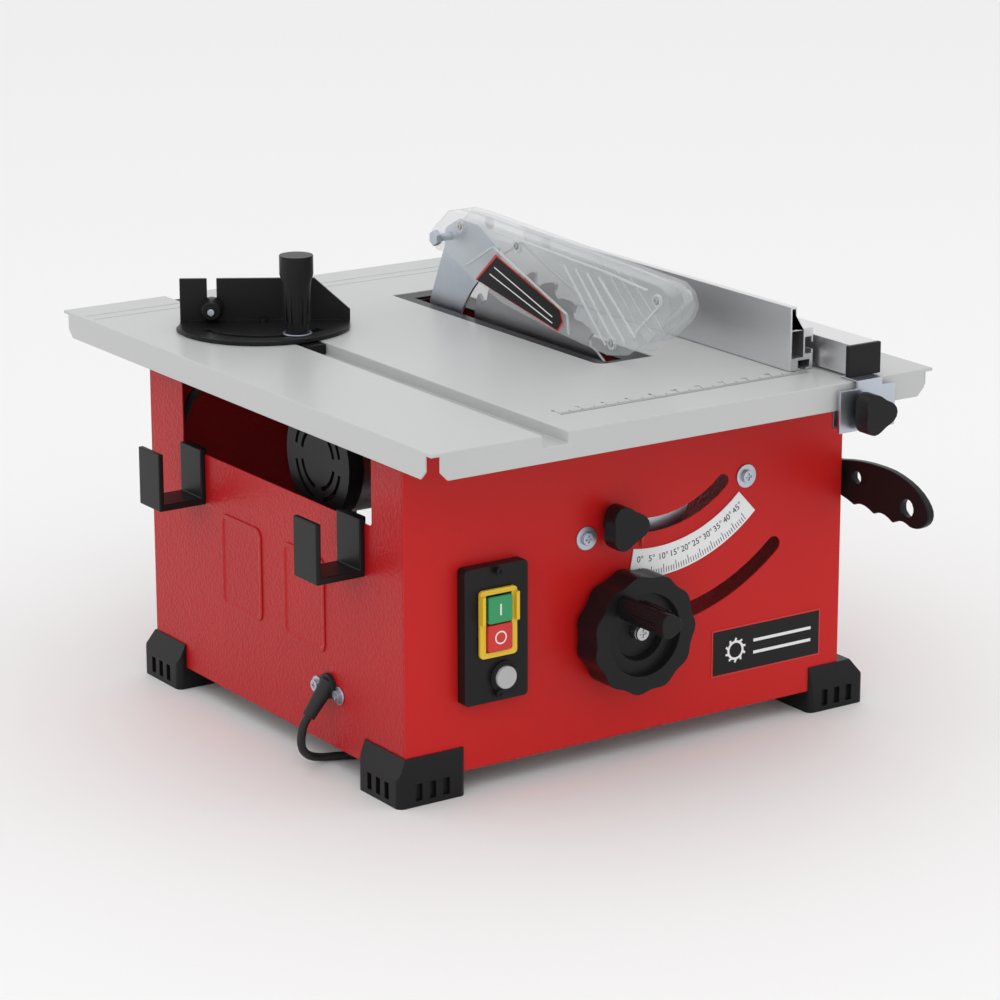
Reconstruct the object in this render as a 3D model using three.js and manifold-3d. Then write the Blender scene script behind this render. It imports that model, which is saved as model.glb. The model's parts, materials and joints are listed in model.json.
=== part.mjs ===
// Bench table saw: sheet-steel cabinet on four corner feet, folded steel table, tilting saw unit with
// rise and fall, riving knife and clear guard, rip fence, mitre gauge, push stick and mains cord.
// Millimetres, +X to the operator's right, +Y away from the operator, +Z up.
import * as THREE from 'three';
import { mergeVertices } from 'three/addons/utils/BufferGeometryUtils.js';
import Module from 'manifold-3d';

const wasm = await Module();
wasm.setup();

// ---- driving dimensions -------------------------------------------------------------------------
const gap = 0.3; // between pieces that touch
const tableWidth = 417.2;
const tableDepth = 505;
const tableHeight = 265; // floor to the table's top face
const tableSheet = 2.5;
const skirtDepth = 19.2;
const skirtSheet = 1.6;
const cornerNotch = 7; // where two skirts stop short of each corner

const cabinetWidth = 372;
const cabinetFront = -183.1;
const cabinetRear = 162.2;
const cabinetSheet = 1.2;
const footClearance = 16.5; // floor to the cabinet's lower edge

const footDepth = 53;
const footWidth = { left: 54.5, right: 50.5 };
const footOverhang = { left: 7.5, right: 23, front: 3.2, rear: 8 };
const footShoulder = 20;
const footTop = 34.5;

const bladeX = 37.2;
const bladeRadius = 102.5;
const bladeSheet = 2.2;
const bladeTeeth = 24;
const boreRadius = 8;
const bladeRise = 46; // above the table when fully raised
const arborY = -11.5;
const liftTravel = 42; // rise and fall of the saw unit
const bevelRoom = 36; // lowest place of the lifting nut to the lead screw's lower bearing

const pivotX = 20.2;
const pivotDrop = 9.5; // tilt axis below the table's top face
const pinRadius = 3;
const running = 0.3; // radial clearance of a turning or sliding fit

const lockRadius = 90.2; // tilt axis to the lock bolt
const lockAngle = -23.4;
const shaftRadius = 160.9; // tilt axis to the handwheel shaft
const shaftAngle = -9.85;
const slotEndAngle = 40.6;
const scaleInner = 106.5;
const scaleOuter = 128;
const pointerAngle = -6.6;
const tiltRange = 45;

const motorY = -51.5;
const motorDrop = 53;
const motorRadius = 40;
const motorEnd = -160;

const slotX = -112;
const slotWidth = 20.3;
const barLength = 190;
const barFront = 50;

const fenceX = 140.3; // left face of the fence tube
const fenceTubeWidth = 24;
const fenceTubeHeight = 21.6;
const fenceTubeLift = 1.9;
const profileLeft = 117;
const profileHeight = 46;
const profileFoot = 20;
const profileFront = -208;
const profileLength = 328;

const cordRadius = 3;
const coilMiddle = 36; // radius at the middle of the coil's turns
const coilAcross = 4; // turns side by side
const coilLayers = 2;

// ---- derived places -----------------------------------------------------------------------------
const top = tableHeight;
const under = top - tableSheet;
const halfWidth = tableWidth / 2;
const halfDepth = tableDepth / 2;
const halfCabinet = cabinetWidth / 2;
const cabinetTop = under - gap;
const frontInner = cabinetFront + cabinetSheet;
const rearInner = cabinetRear - cabinetSheet;
const leftInner = -halfCabinet + cabinetSheet;
const pivotZ = top - pivotDrop;
const arborZ = top + bladeRise - bladeRadius;
const motorZ = top - motorDrop;
const rad = Math.PI / 180;
const lockX = pivotX + lockRadius * Math.sin(lockAngle * rad);
const lockZ = pivotZ - lockRadius * Math.cos(lockAngle * rad);
const shaftX = pivotX + shaftRadius * Math.sin(shaftAngle * rad);
const shaftZ = pivotZ - shaftRadius * Math.cos(shaftAngle * rad);

// ---- shape helpers ------------------------------------------------------------------------------
function solid(geometry) {
  const bare = geometry.clone();
  bare.deleteAttribute('normal');
  bare.deleteAttribute('uv');
  const merged = mergeVertices(bare, 1e-4);
  return new wasm.Manifold(new wasm.Mesh({
    numProp: 3,
    vertProperties: new Float32Array(merged.attributes.position.array),
    triVerts: new Uint32Array(merged.index.array),
  }));
}

function geometryOf(manifold) {
  const mesh = manifold.getMesh();
  const geometry = new THREE.BufferGeometry();
  geometry.setAttribute('position', new THREE.BufferAttribute(new Float32Array(mesh.vertProperties), 3));
  geometry.setIndex(new THREE.BufferAttribute(new Uint32Array(mesh.triVerts), 1));
  geometry.computeVertexNormals();
  return geometry;
}

const join = (...pieces) => pieces.reduce((sum, piece) => sum.add(piece));
const cut = (piece, ...tools) => tools.reduce((rest, tool) => rest.subtract(tool), piece);

function block(x0, x1, y0, y1, z0, z1) {
  const geometry = new THREE.BoxGeometry(x1 - x0, y1 - y0, z1 - z0);
  geometry.translate((x0 + x1) / 2, (y0 + y1) / 2, (z0 + z1) / 2);
  return solid(geometry);
}

// Places a geometry made around the local Z axis so that it runs along the named axis.
function along(geometry, axis) {
  const X = new THREE.Vector3(1, 0, 0);
  const Y = new THREE.Vector3(0, 1, 0);
  const Z = new THREE.Vector3(0, 0, 1);
  const basis = { x: [Y, Z, X], y: [X, Z, Y.clone().negate()], z: [X, Y, Z] }[axis];
  return geometry.applyMatrix4(new THREE.Matrix4().makeBasis(...basis));
}

// A shape drawn in the two other axes (y-z, x-z or x-y) and extruded along the named axis.
function slab(shape, axis, from, to, curveSegments = 6) {
  const geometry = new THREE.ExtrudeGeometry(shape, { depth: to - from, bevelEnabled: false, curveSegments });
  along(geometry, axis);
  const shift = axis === 'y' ? to : from;
  geometry.translate(axis === 'x' ? shift : 0, axis === 'y' ? shift : 0, axis === 'z' ? shift : 0);
  return solid(geometry);
}

// A round bar, cone or stepped turning: rings of [distance along the axis, radius].
function turned(axis, centre, rings, segments = 24) {
  const profile = [new THREE.Vector2(0, rings[0][0])];
  rings.forEach(([distance, radius]) => profile.push(new THREE.Vector2(radius, distance)));
  profile.push(new THREE.Vector2(0, rings[rings.length - 1][0]));
  const geometry = new THREE.LatheGeometry(profile, segments);
  geometry.rotateX(Math.PI / 2);
  if (axis !== 'y') along(geometry, axis);
  else geometry.applyMatrix4(new THREE.Matrix4().makeBasis(
    new THREE.Vector3(0, 0, 1), new THREE.Vector3(1, 0, 0), new THREE.Vector3(0, 1, 0)));
  geometry.translate(...centre);
  return solid(geometry);
}

const rod = (axis, centre, from, to, radius, segments) =>
  turned(axis, centre, [[from, radius], [to, radius]], segments);

function polygon(points) {
  return new THREE.Shape(points.map(([a, b]) => new THREE.Vector2(a, b)));
}

function roundedRect(a0, a1, b0, b1, r) {
  const s = new THREE.Shape();
  s.moveTo(a0 + r, b0);
  s.lineTo(a1 - r, b0);
  s.absarc(a1 - r, b0 + r, r, -Math.PI / 2, 0);
  s.lineTo(a1, b1 - r);
  s.absarc(a1 - r, b1 - r, r, 0, Math.PI / 2);
  s.lineTo(a0 + r, b1);
  s.absarc(a0 + r, b1 - r, r, Math.PI / 2, Math.PI);
  s.lineTo(a0, b0 + r);
  s.absarc(a0 + r, b0 + r, r, Math.PI, Math.PI * 1.5);
  return s;
}

// Arc slot around the tilt axis in the x-z plane; angles in degrees from straight down, + to the right.
function arcBand(inner, outer, from, to, roundEnds) {
  const at = (angle) => (angle - 90) * rad;
  const s = new THREE.Shape();
  s.absarc(pivotX, pivotZ, outer, at(from), at(to), false);
  if (roundEnds) {
    const middle = (inner + outer) / 2;
    const r = (outer - inner) / 2;
    s.absarc(pivotX + middle * Math.cos(at(to)), pivotZ + middle * Math.sin(at(to)), r, at(to), at(to) + Math.PI);
  }
  s.absarc(pivotX, pivotZ, inner, at(to), at(from), true);
  if (roundEnds) {
    const middle = (inner + outer) / 2;
    const r = (outer - inner) / 2;
    s.absarc(pivotX + middle * Math.cos(at(from)), pivotZ + middle * Math.sin(at(from)), r,
      at(from) + Math.PI, at(from) + Math.PI * 2);
  }
  return s;
}

// A round outline with lobes or teeth, drawn as one closed polygon.
function lobed(a, b, outer, inner, count, steps, sharp = 1) {
  const points = [];
  for (let i = 0; i < count * steps; i += 1) {
    const angle = (i / (count * steps)) * Math.PI * 2;
    const wave = Math.pow(0.5 + 0.5 * Math.cos(angle * count), sharp);
    const r = inner + (outer - inner) * wave;
    points.push([a + r * Math.cos(angle), b + r * Math.sin(angle)]);
  }
  return polygon(points);
}

// ---- assembly -----------------------------------------------------------------------------------
const saw = new THREE.Group();
const machine = new THREE.Group(); // everything but the free cord
const cordGroup = new THREE.Group();
saw.add(machine, cordGroup);

const finishes = {
  redPaint: { color: 0xb01418, roughness: 0.5, metalness: 0.1 },
  greyPaint: { color: 0xc9cbca, roughness: 0.45, metalness: 0.2 },
  blackPlastic: { color: 0x17171a, roughness: 0.55, metalness: 0 },
  yellowPlastic: { color: 0xe8c51c, roughness: 0.45, metalness: 0 },
  greenPlastic: { color: 0x1c8f4a, roughness: 0.4, metalness: 0 },
  redPlastic: { color: 0xc8201f, roughness: 0.4, metalness: 0 },
  clearPlastic: { color: 0xe8ebec, roughness: 0.15, metalness: 0 },
  zincSteel: { color: 0x9aa4aa, roughness: 0.35, metalness: 0.9 },
  bareSteel: { color: 0xa9abad, roughness: 0.3, metalness: 0.95 },
  aluminium: { color: 0xc6c8c9, roughness: 0.35, metalness: 0.9 },
  castMetal: { color: 0x8f9294, roughness: 0.55, metalness: 0.8 },
  whitePlate: { color: 0xe9ebec, roughness: 0.5, metalness: 0 },
  copper: { color: 0xb06a3c, roughness: 0.45, metalness: 0.8 },
  blackRubber: { color: 0x121214, roughness: 0.75, metalness: 0 },
};

function add(name, manifold, finish, group = machine) {
  const mesh = new THREE.Mesh(geometryOf(manifold), new THREE.MeshStandardMaterial(finishes[finish]));
  mesh.name = name;
  group.add(mesh);
}

// ---- table --------------------------------------------------------------------------------------
const throat = { x0: 21.9, x1: 67.9, y0: -113.7, y1: 156.4, corner: 8, sheet: 2.2, inset: 0.5 };
const ledge = { depth: 10.5, sheet: 2 };
const trough = { wall: 1.5, depth: 10.1 }; // guide pressed into the table for the mitre bar

function skirt(axis, side) {
  const along0 = axis === 'x' ? halfWidth - cornerNotch : halfDepth - cornerNotch;
  const low = top - skirtDepth;
  const chamfer = 6;
  const outline = polygon([
    [-along0, top - 1], [-along0, low + chamfer], [-along0 + chamfer, low],
    [along0 - chamfer, low], [along0, low + chamfer], [along0, top - 1],
  ]);
  const edge = axis === 'x' ? halfDepth : halfWidth;
  const [from, to] = side < 0 ? [-edge, -edge + skirtSheet] : [edge - skirtSheet, edge];
  return slab(outline, axis === 'x' ? 'y' : 'x', from, to);
}

function tableTop() {
  const sheet = block(-halfWidth, halfWidth, -halfDepth, halfDepth, under, top);
  const skirts = [skirt('x', -1), skirt('x', 1), skirt('y', -1), skirt('y', 1)];
  const low = under - ledge.sheet;
  const ledges = [
    block(throat.x0 - 4, throat.x1 + 4, throat.y0 - 4, throat.y0 + ledge.depth, low, under + 0.2),
    block(throat.x0 - 4, throat.x1 + 4, throat.y1 - ledge.depth, throat.y1 + 4, low, under + 0.2),
  ];
  const mitreSlot = block(slotX - slotWidth / 2, slotX + slotWidth / 2, -halfDepth - 1, halfDepth + 1,
    top - trough.depth + trough.wall, top + 1);
  const opening = slab(throatOutline(gap), 'z', under, top + 1);
  return join(cut(join(sheet, ...skirts, ...ledges), mitreSlot, opening), mitreTrough());
}

function throatOutline(grow) {
  const { x0, x1, y0, y1, corner } = throat;
  const s = new THREE.Shape();
  s.moveTo(x0 - grow + corner, y0 - grow);
  s.lineTo(x1 + grow, y0 - grow);
  s.lineTo(x1 + grow, y1 + grow);
  s.lineTo(x0 - grow, y1 + grow);
  s.lineTo(x0 - grow, y0 - grow + corner);
  s.absarc(x0 - grow + corner, y0 - grow + corner, corner, Math.PI, Math.PI * 1.5);
  return s;
}

function throatPlate() {
  const plate = slab(throatOutline(0), 'z', under + gap, top - throat.inset);
  const slot = block(bladeX - 5.7, bladeX + 8.3, throat.y0 + 6, 140.8, under - 1, top + 1);
  return cut(plate, slot);
}

function mitreTrough() {
  const half = slotWidth / 2;
  const low = top - trough.depth;
  const outer = block(slotX - half - trough.wall, slotX + half + trough.wall, -halfDepth, halfDepth, low, under + 0.5);
  const inner = block(slotX - half, slotX + half, -halfDepth - 1, halfDepth + 1, low + trough.wall, top + 1);
  return cut(outer, inner);
}

add('table_top', tableTop(), 'greyPaint');
add('throat_plate', throatPlate(), 'blackPlastic');

// ---- cabinet ------------------------------------------------------------------------------------
const slotHalf = { lock: 5.15, shaft: 5.9 };
const switchPanel = { x0: -144, x1: -92.8, z0: top - 199.5, z1: top - 103.3, depth: 9.2, margin: 6 };
const switchX = (switchPanel.x0 + switchPanel.x1) / 2;
const window = { y0: -143.3, y1: 113.8, z0: top - 77.3, z1: top - 15 };
const cordExit = { y: -86.5, z: top - 205, hole: 6 };

function troughNotch(y0, y1) {
  const side = slotWidth / 2 + trough.wall + gap;
  return block(slotX - side, slotX + side, y0 - 1, y1 + 1, top - trough.depth - gap, top);
}

function cabinetFrontPanel() {
  const panel = block(-halfCabinet, halfCabinet, cabinetFront, frontInner, footClearance, cabinetTop);
  const lockSlot = slab(arcBand(lockRadius - slotHalf.lock, lockRadius + slotHalf.lock, lockAngle - 1.8,
    slotEndAngle, true), 'y', cabinetFront - 1, frontInner + 1);
  const shaftSlot = slab(arcBand(shaftRadius - slotHalf.shaft, shaftRadius + slotHalf.shaft, shaftAngle - 2.2,
    slotEndAngle, true), 'y', cabinetFront - 1, frontInner + 1);
  const { x0, x1, z0, z1, margin } = switchPanel;
  const switchHole = block(x0 + margin, x1 - margin, cabinetFront - 1, frontInner + 1, z0 + margin, z1 - margin);
  return cut(panel, lockSlot, shaftSlot, switchHole, troughNotch(cabinetFront, frontInner));
}

// Left, rear and right walls, folded from one sheet.
function cabinetWrap() {
  const y0 = frontInner + gap;
  const outer = block(-halfCabinet, halfCabinet, y0, cabinetRear, footClearance, cabinetTop);
  const inner = block(leftInner, -leftInner, y0 - 1, rearInner, footClearance - 1, cabinetTop + 1);
  const side = slab(roundedRect(window.y0, window.y1, window.z0, window.z1, 3), 'x',
    -halfCabinet - 1, leftInner + 1, 3);
  const rearHole = slab(roundedRect(-10, 172, top - 215, top - 95, 8), 'y', rearInner - 1, cabinetRear + 1, 3);
  const exit = rod('x', [0, cordExit.y, cordExit.z], -halfCabinet - 1, leftInner + 1, cordExit.hole, 12);
  return cut(outer, inner, side, rearHole, exit, troughNotch(rearInner, cabinetRear));
}

add('cabinet_front', cabinetFrontPanel(), 'redPaint');
add('cabinet_wrap', cabinetWrap(), 'redPaint');

// Corner foot: a slab under the cabinet's corner with a bevelled collar around it.
function cornerFoot(sideX, sideY) {
  const overX = sideX < 0 ? footOverhang.left : footOverhang.right;
  const overY = sideY < 0 ? footOverhang.front : footOverhang.rear;
  const width = sideX < 0 ? footWidth.left : footWidth.right;
  const faceY = sideY < 0 ? -cabinetFront : cabinetRear;
  const collar = (face, over, length) => [
    [face + over - length, 0], [face + over, 0], [face + over, footShoulder],
    [Math.max(face + over - 12, face + gap + 0.8), footTop], [face + over - length, footTop],
  ];
  const place = (points, side) => {
    const sided = points.map(([a, z]) => [a * side, z]);
    return polygon(side < 0 ? sided.reverse() : sided);
  };
  const acrossX = slab(place(collar(halfCabinet, overX, width), sideX), 'y', -400, 400);
  const acrossY = slab(place(collar(faceY, overY, footDepth), sideY), 'x', -400, 400);
  const cornerX = (halfCabinet + overX) * sideX;
  const cornerY = (faceY + overY) * sideY;
  const innerX = cornerX - sideX * width;
  const innerY = cornerY - sideY * footDepth;
  const round = roundedRect(Math.min(cornerX, innerX), Math.max(cornerX, innerX),
    Math.min(cornerY, innerY), Math.max(cornerY, innerY), 5);
  const trimmed = acrossX.intersect(acrossY).intersect(slab(round, 'z', 0, footTop, 3));
  const body = block(-halfCabinet - gap, halfCabinet + gap, cabinetFront - gap, cabinetRear + gap,
    footClearance - gap, footTop + 1);
  return cut(trimmed, body);
}

[['front_left', -1, -1], ['front_right', 1, -1], ['rear_left', -1, 1], ['rear_right', 1, 1]]
  .forEach(([place, sideX, sideY]) => add(`foot_${place}`, cornerFoot(sideX, sideY), 'blackRubber'));

// Storage hooks that hang over the window's sill; they carry the rip fence when it is taken off.
const hook = { width: 30, reach: 38, wall: 4, height: 41, lip: 3.5 };

function storageHook(y0) {
  const y1 = y0 + hook.width;
  const face = -halfCabinet - gap;
  const low = window.z0 + gap + hook.lip - hook.height;
  const backTop = window.z0 + gap + hook.lip;
  const back = block(face - hook.wall, face, y0, y1, low, backTop);
  const floor = block(face - hook.reach, face, y0, y1, low, low + 5);
  const front = block(face - hook.reach, face - hook.reach + hook.wall, y0, y1, low, backTop + 1.5);
  const saddle = block(face - 1, leftInner + gap + 2, y0 + 4, y1 - 4, window.z0 + gap, backTop);
  const tongue = block(leftInner + gap, leftInner + gap + 2, y0 + 4, y1 - 4, window.z0 - 9, backTop);
  return join(back, floor, front, saddle, tongue);
}

add('storage_hook_front', storageHook(-135), 'blackPlastic');
add('storage_hook_rear', storageHook(81.5), 'blackPlastic');

// ---- switch -------------------------------------------------------------------------------------
const bezel = { width: 30, z0: top - 167, z1: top - 119, proud: 3, wall: 4.6 };
const button = { width: 19.4, height: 18.8, gap: 0.9, proud: 2.4, depth: 12 };
const resetCap = { x: switchX + 5, z: top - 182.3, radius: 8 };
const plateFace = cabinetFront - gap - switchPanel.depth;

const bezelFace = plateFace - bezel.proud;
const buttonWindow = {
  x0: switchX - button.width / 2 - 0.6, x1: switchX + button.width / 2 + 0.6,
  z0: (bezel.z0 + bezel.z1) / 2 - button.height - button.gap - 0.4,
  z1: (bezel.z0 + bezel.z1) / 2 + button.height + button.gap + 0.4,
};

function windowCut(y0, y1) {
  const { x0, x1, z0, z1 } = buttonWindow;
  return block(x0, x1, y0, y1, z0, z1);
}

// Faceplate in front of the panel and contact box behind it, joined through the panel's cutout.
function switchHousing() {
  const boxRear = frontInner + gap + 32;
  const { x0, x1, z0, z1, depth, margin } = switchPanel;
  const neckMargin = margin + gap;
  const wall = neckMargin + 2.2;
  const plate = slab(roundedRect(x0, x1, z0, z1, 3), 'y', plateFace, plateFace + depth, 2);
  const neck = block(x0 + neckMargin, x1 - neckMargin, plateFace + 4, frontInner + gap + 4,
    z0 + neckMargin, z1 - neckMargin);
  const box = block(x0 + 3, x1 - 3, frontInner + gap, boxRear, z0 + 3, z1 - 3);
  const hollow = block(x0 + wall, x1 - wall, plateFace + 4, boxRear - 2, z0 + wall, z1 - wall);
  const collar = rod('y', [resetCap.x, 0, resetCap.z], plateFace - 2.5, plateFace + 1, resetCap.radius + 3, 20);
  const resetHole = rod('y', [resetCap.x, 0, resetCap.z], plateFace - 5, plateFace + 5,
    resetCap.radius + 0.5, 20);
  return cut(join(plate, neck, box, collar), hollow, windowCut(plateFace - 1, plateFace + 5), resetHole);
}

function switchBezel() {
  const frame = slab(roundedRect(switchX - bezel.width / 2, switchX + bezel.width / 2, bezel.z0, bezel.z1, 3),
    'y', bezelFace, plateFace - gap, 2);
  const shroudZ0 = (bezel.z0 + bezel.z1) / 2 + 0.5;
  const shrouds = [-1, 1].map((side) => {
    const x = switchX + side * (bezel.width / 2 - 1.3);
    return block(x - 1.3, x + 1.3, bezelFace - 3.2, bezelFace + 1, shroudZ0, shroudZ0 + 20);
  });
  return cut(join(frame, ...shrouds), windowCut(bezelFace - 5, plateFace + 1));
}

function pushButton(z0) {
  const { x0, x1 } = buttonWindow;
  const face = bezelFace - button.proud;
  const cap = slab(roundedRect(x0 + 0.6, x1 - 0.6, z0, z0 + button.height, 1.5), 'y',
    face, bezelFace + button.depth, 2);
  return cap;
}

add('switch_housing', switchHousing(), 'blackPlastic');
add('switch_bezel', switchBezel(), 'yellowPlastic');
add('start_button', pushButton((bezel.z0 + bezel.z1) / 2 + button.gap / 2), 'greenPlastic');
add('stop_button', pushButton((bezel.z0 + bezel.z1) / 2 - button.gap / 2 - button.height), 'redPlastic');
add('reset_button', rod('y', [resetCap.x, 0, resetCap.z], plateFace - 5.5, plateFace + 7,
  resetCap.radius, 20), 'clearPlastic');

// ---- scale on the front -------------------------------------------------------------------------
add('angle_scale', slab(arcBand(scaleInner, scaleOuter, pointerAngle - 3.5, pointerAngle + tiltRange + 4.5, false),
  'y', cabinetFront - gap - 0.8, cabinetFront - gap, 16), 'whitePlate');

// ---- tilting frame ------------------------------------------------------------------------------
const frontPlate = { y0: -173.5, y1: -170.5 };
const rearPlate = { y0: 135, y1: 138 };
const bracketSheet = 3;
const bracketGap = 0.6; // trunnion bracket to the cradle's end plate
const railX = -55;
const upperBar = { z0: top - 10.5, z1: top - 5.5 };
const lowerBar = { z0: top - 218, z1: top - 208 };
const screwY = -118;
const screwRadius = 4;
const nutArm = { z0: top - 72, z1: top - 52 };
const armZ = { low: nutArm.z0 - liftTravel - bevelRoom, high: top - 16, sheet: 5 };

function trunnionBracket(y0, pinFrom, pinTo) {
  const plate = block(pivotX - 12, pivotX + 12, y0, y0 + bracketSheet, pivotZ - 9, under - gap);
  return join(plate, rod('y', [pivotX, 0, pivotZ], pinFrom, pinTo, pinRadius, 16));
}

function cradlePlate({ y0, y1 }) {
  const outline = polygon([
    [railX - 7, top - 218], [-30, top - 218], [16, top - 185], [60, top - 84], [74, top - 80], [74, top - 60],
    [30, top - 14], [14, upperBar.z1], [railX - 7, upperBar.z1],
  ]);
  const boss = rod('y', [pivotX, 0, pivotZ], y0, y1, pinRadius + 2.9, 24);
  return join(slab(outline, 'y', y0, y1), boss);
}

function cradle() {
  const barFrom = frontPlate.y0 + 0.5;
  const barTo = rearPlate.y1 - 0.5;
  const bars = [
    block(railX - 7, railX + 7, barFrom, barTo, upperBar.z0, upperBar.z1),
    block(railX - 7, railX + 7, barFrom, barTo, lowerBar.z0, lowerBar.z1),
    block(60, 74, barFrom, barTo, top - 80, top - 68),
  ];
  const arms = [armZ.low, armZ.high].map((z) =>
    block(shaftX - 8, shaftX + 8, frontPlate.y1 - 0.5, screwY + 8, z, z + armZ.sheet));
  const body = join(cradlePlate(frontPlate), cradlePlate(rearPlate), ...bars, ...arms);
  const pivotHole = rod('y', [pivotX, 0, pivotZ], -190, 190, pinRadius + running, 16);
  const lockHole = rod('y', [lockX, 0, lockZ], -190, -160, pinRadius + running, 12);
  const shaftHole = rod('y', [shaftX, 0, shaftZ], -190, -160, 5 + running, 16);
  const screwHole = rod('z', [shaftX, screwY, 0], armZ.low - 1, armZ.high + 8, screwRadius + running, 16);
  const rearWindow = slab(polygon([[-40, top - 200], [-40, top - 30], [10, top - 30], [40, top - 84],
    [0, top - 176]]), 'y', rearPlate.y0 - 1, rearPlate.y1 + 1);
  return cut(body, pivotHole, lockHole, shaftHole, screwHole, rearWindow);
}

const rodY = [-115, 35];
const rodRadius = 5;

const frontBracket = frontPlate.y0 - bracketGap - bracketSheet;
const rearBracket = rearPlate.y1 + bracketGap;
add('trunnion_bracket_front', trunnionBracket(frontBracket, frontBracket + 1, frontPlate.y1 + 2), 'zincSteel');
add('trunnion_bracket_rear', trunnionBracket(rearBracket, rearPlate.y0 - 2, rearBracket + 1), 'zincSteel');
add('cradle', cradle(), 'zincSteel');
['front', 'rear'].forEach((place, i) => {
  const guide = rod('z', [railX, rodY[i], 0], lowerBar.z1 + gap, upperBar.z0 - gap, rodRadius, 16);
  add(`guide_rod_${place}`, guide, 'bareSteel');
});

function tiltPointer() {
  const at = (r) => [pivotX + r * Math.sin(pointerAngle * rad), pivotZ - r * Math.cos(pointerAngle * rad)];
  const [stemX, stemZ] = at(lockRadius);
  const stem = rod('y', [stemX, 0, stemZ], cabinetFront - 2, frontPlate.y0 - gap, 2, 8);
  const [tipX, tipZ] = at(scaleInner - 0.6);
  const [rootX, rootZ] = at(lockRadius - 3);
  const blade = slab(polygon([[rootX - 3, rootZ], [tipX, tipZ], [rootX + 3, rootZ]]), 'y',
    cabinetFront - 2.2, cabinetFront - 0.6);
  return join(stem, blade);
}

add('tilt_pointer', tiltPointer(), 'redPlastic');

// A three-lobed hand knob with a neck and a threaded stud, along Y; the face points to the operator.
function handKnob(x, z, face, back, neckEnd, studEnd, radius) {
  const head = slab(lobed(x, z, radius, radius * 0.72, 3, 10), 'y', face, back);
  const neck = rod('y', [x, 0, z], back - 0.5, neckEnd, radius * 0.52, 18);
  const stud = rod('y', [x, 0, z], neckEnd - 0.5, studEnd, pinRadius, 12);
  return join(head, neck, stud);
}

add('lock_knob', handKnob(lockX, lockZ, cabinetFront - 20.6, cabinetFront - 7, cabinetFront - 0.5,
  frontPlate.y1 + 4, 17), 'blackPlastic');

// ---- height drive -------------------------------------------------------------------------------
const gearFar = 12;
const gearNear = 9;
const gearGap = 0.4;

function bevel(axis, centre, direction) {
  const rings = [[direction * gearFar, gearFar - gearGap], [direction * gearNear, gearNear - gearGap]];
  return turned(axis, centre, direction < 0 ? rings : rings.reverse(), 20);
}

add('lead_screw', join(
  bevel('z', [shaftX, screwY, shaftZ], 1),
  rod('z', [shaftX, screwY, 0], shaftZ + gearNear + 0.5, armZ.high + armZ.sheet + 2, screwRadius, 16),
), 'bareSteel');
add('wheel_shaft', join(
  bevel('y', [shaftX, screwY, shaftZ], -1),
  rod('y', [shaftX, 0, shaftZ], cabinetFront - 22, screwY - gearNear - 0.5, 5, 16),
), 'bareSteel');

const wheel = { radius: 43, rear: cabinetFront - 5, face: cabinetFront - 28, lobes: 11 };
const crank = { x: -24, z: top - 145, length: 52, radius: 9 };

function handwheel() {
  const rim = slab(lobed(shaftX, shaftZ, wheel.radius, wheel.radius - 2.4, wheel.lobes, 6), 'y',
    wheel.face, wheel.rear);
  const bowl = turned('y', [shaftX, 0, shaftZ], [[wheel.face - 1, 30], [wheel.face + 6, 29],
    [wheel.face + 6.01, 20], [wheel.face + 12, 18]], 28);
  const rearBowl = turned('y', [shaftX, 0, shaftZ], [[wheel.rear - 6, 34], [wheel.rear + 1, 36]], 24);
  const shaftHole = rod('y', [shaftX, 0, shaftZ], wheel.face, wheel.rear + 1, 5 + gap, 16);
  const hub = rod('y', [shaftX, 0, shaftZ], wheel.rear - 8, wheel.rear, 10, 20);
  const crankHole = rod('y', [crank.x, 0, crank.z], wheel.face - 1, wheel.rear + 1, 3 + running, 12);
  return cut(join(cut(rim, bowl, rearBowl), hub), shaftHole, crankHole);
}

function crankHandle() {
  const face = wheel.face - gap;
  const grip = slab(lobed(crank.x, crank.z, crank.radius, crank.radius * 0.84, 3, 8), 'y',
    face - crank.length, face);
  const pin = rod('y', [crank.x, 0, crank.z], face - 0.5, wheel.rear - 7, 3, 12);
  return join(grip, pin);
}

add('handwheel', handwheel(), 'blackPlastic');
add('crank_handle', crankHandle(), 'blackPlastic');

// ---- saw unit: carriage, motor, gearbox ---------------------------------------------------------
const carriage = { x0: -45, x1: -39, y0: -128, y1: 124, z0: top - 96, z1: top - 14 };
const sleeveRadius = 11;
const knife = { sheet: 2, radius: 110, clampY0: 97, clampY1: 121, clampZ0: top - 60, clampZ1: top - 44 };
const knifeLeft = bladeX - knife.sheet / 2;

function carriagePlate() {
  const { x0, x1, y0, y1, z0, z1 } = carriage;
  const plate = slab(roundedRect(y0, y1, z0, z1, 6), 'x', x0, x1, 2);
  const sleeves = rodY.map((y) => rod('z', [railX, y, 0], top - 92, top - 30, sleeveRadius, 20));
  const arm = block(x1 - 1, shaftX + 8, screwY - 9, screwY + 9, nutArm.z0, nutArm.z1);
  const knifeArm = block(x1 - 1, knifeLeft - gap, knife.clampY0, knife.clampY1, knife.clampZ0, knife.clampZ1);
  const rodHoles = rodY.map((y) => rod('z', [railX, y, 0], z0 - 5, z1 + 5, rodRadius + running, 16));
  const screwHole = rod('z', [shaftX, screwY, 0], z0, z1, screwRadius + running, 16);
  const bearingHole = rod('x', [0, motorY, motorZ], x0 - 1, x1 + 1, bearing.inner, 20);
  const gearHole = rod('x', [0, arborY, arborZ], x0 - 1, x1 + 1, 12, 20);
  return cut(join(plate, ...sleeves, arm, knifeArm), ...rodHoles, screwHole, bearingHole, gearHole);
}

const bearing = { inner: 4 + running, outer: 12.5 };
const motorWall = 2.5;
const cap = { x0: -172, x1: motorEnd - gap, wall: 3, radius: motorRadius + 1.5 };

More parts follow.
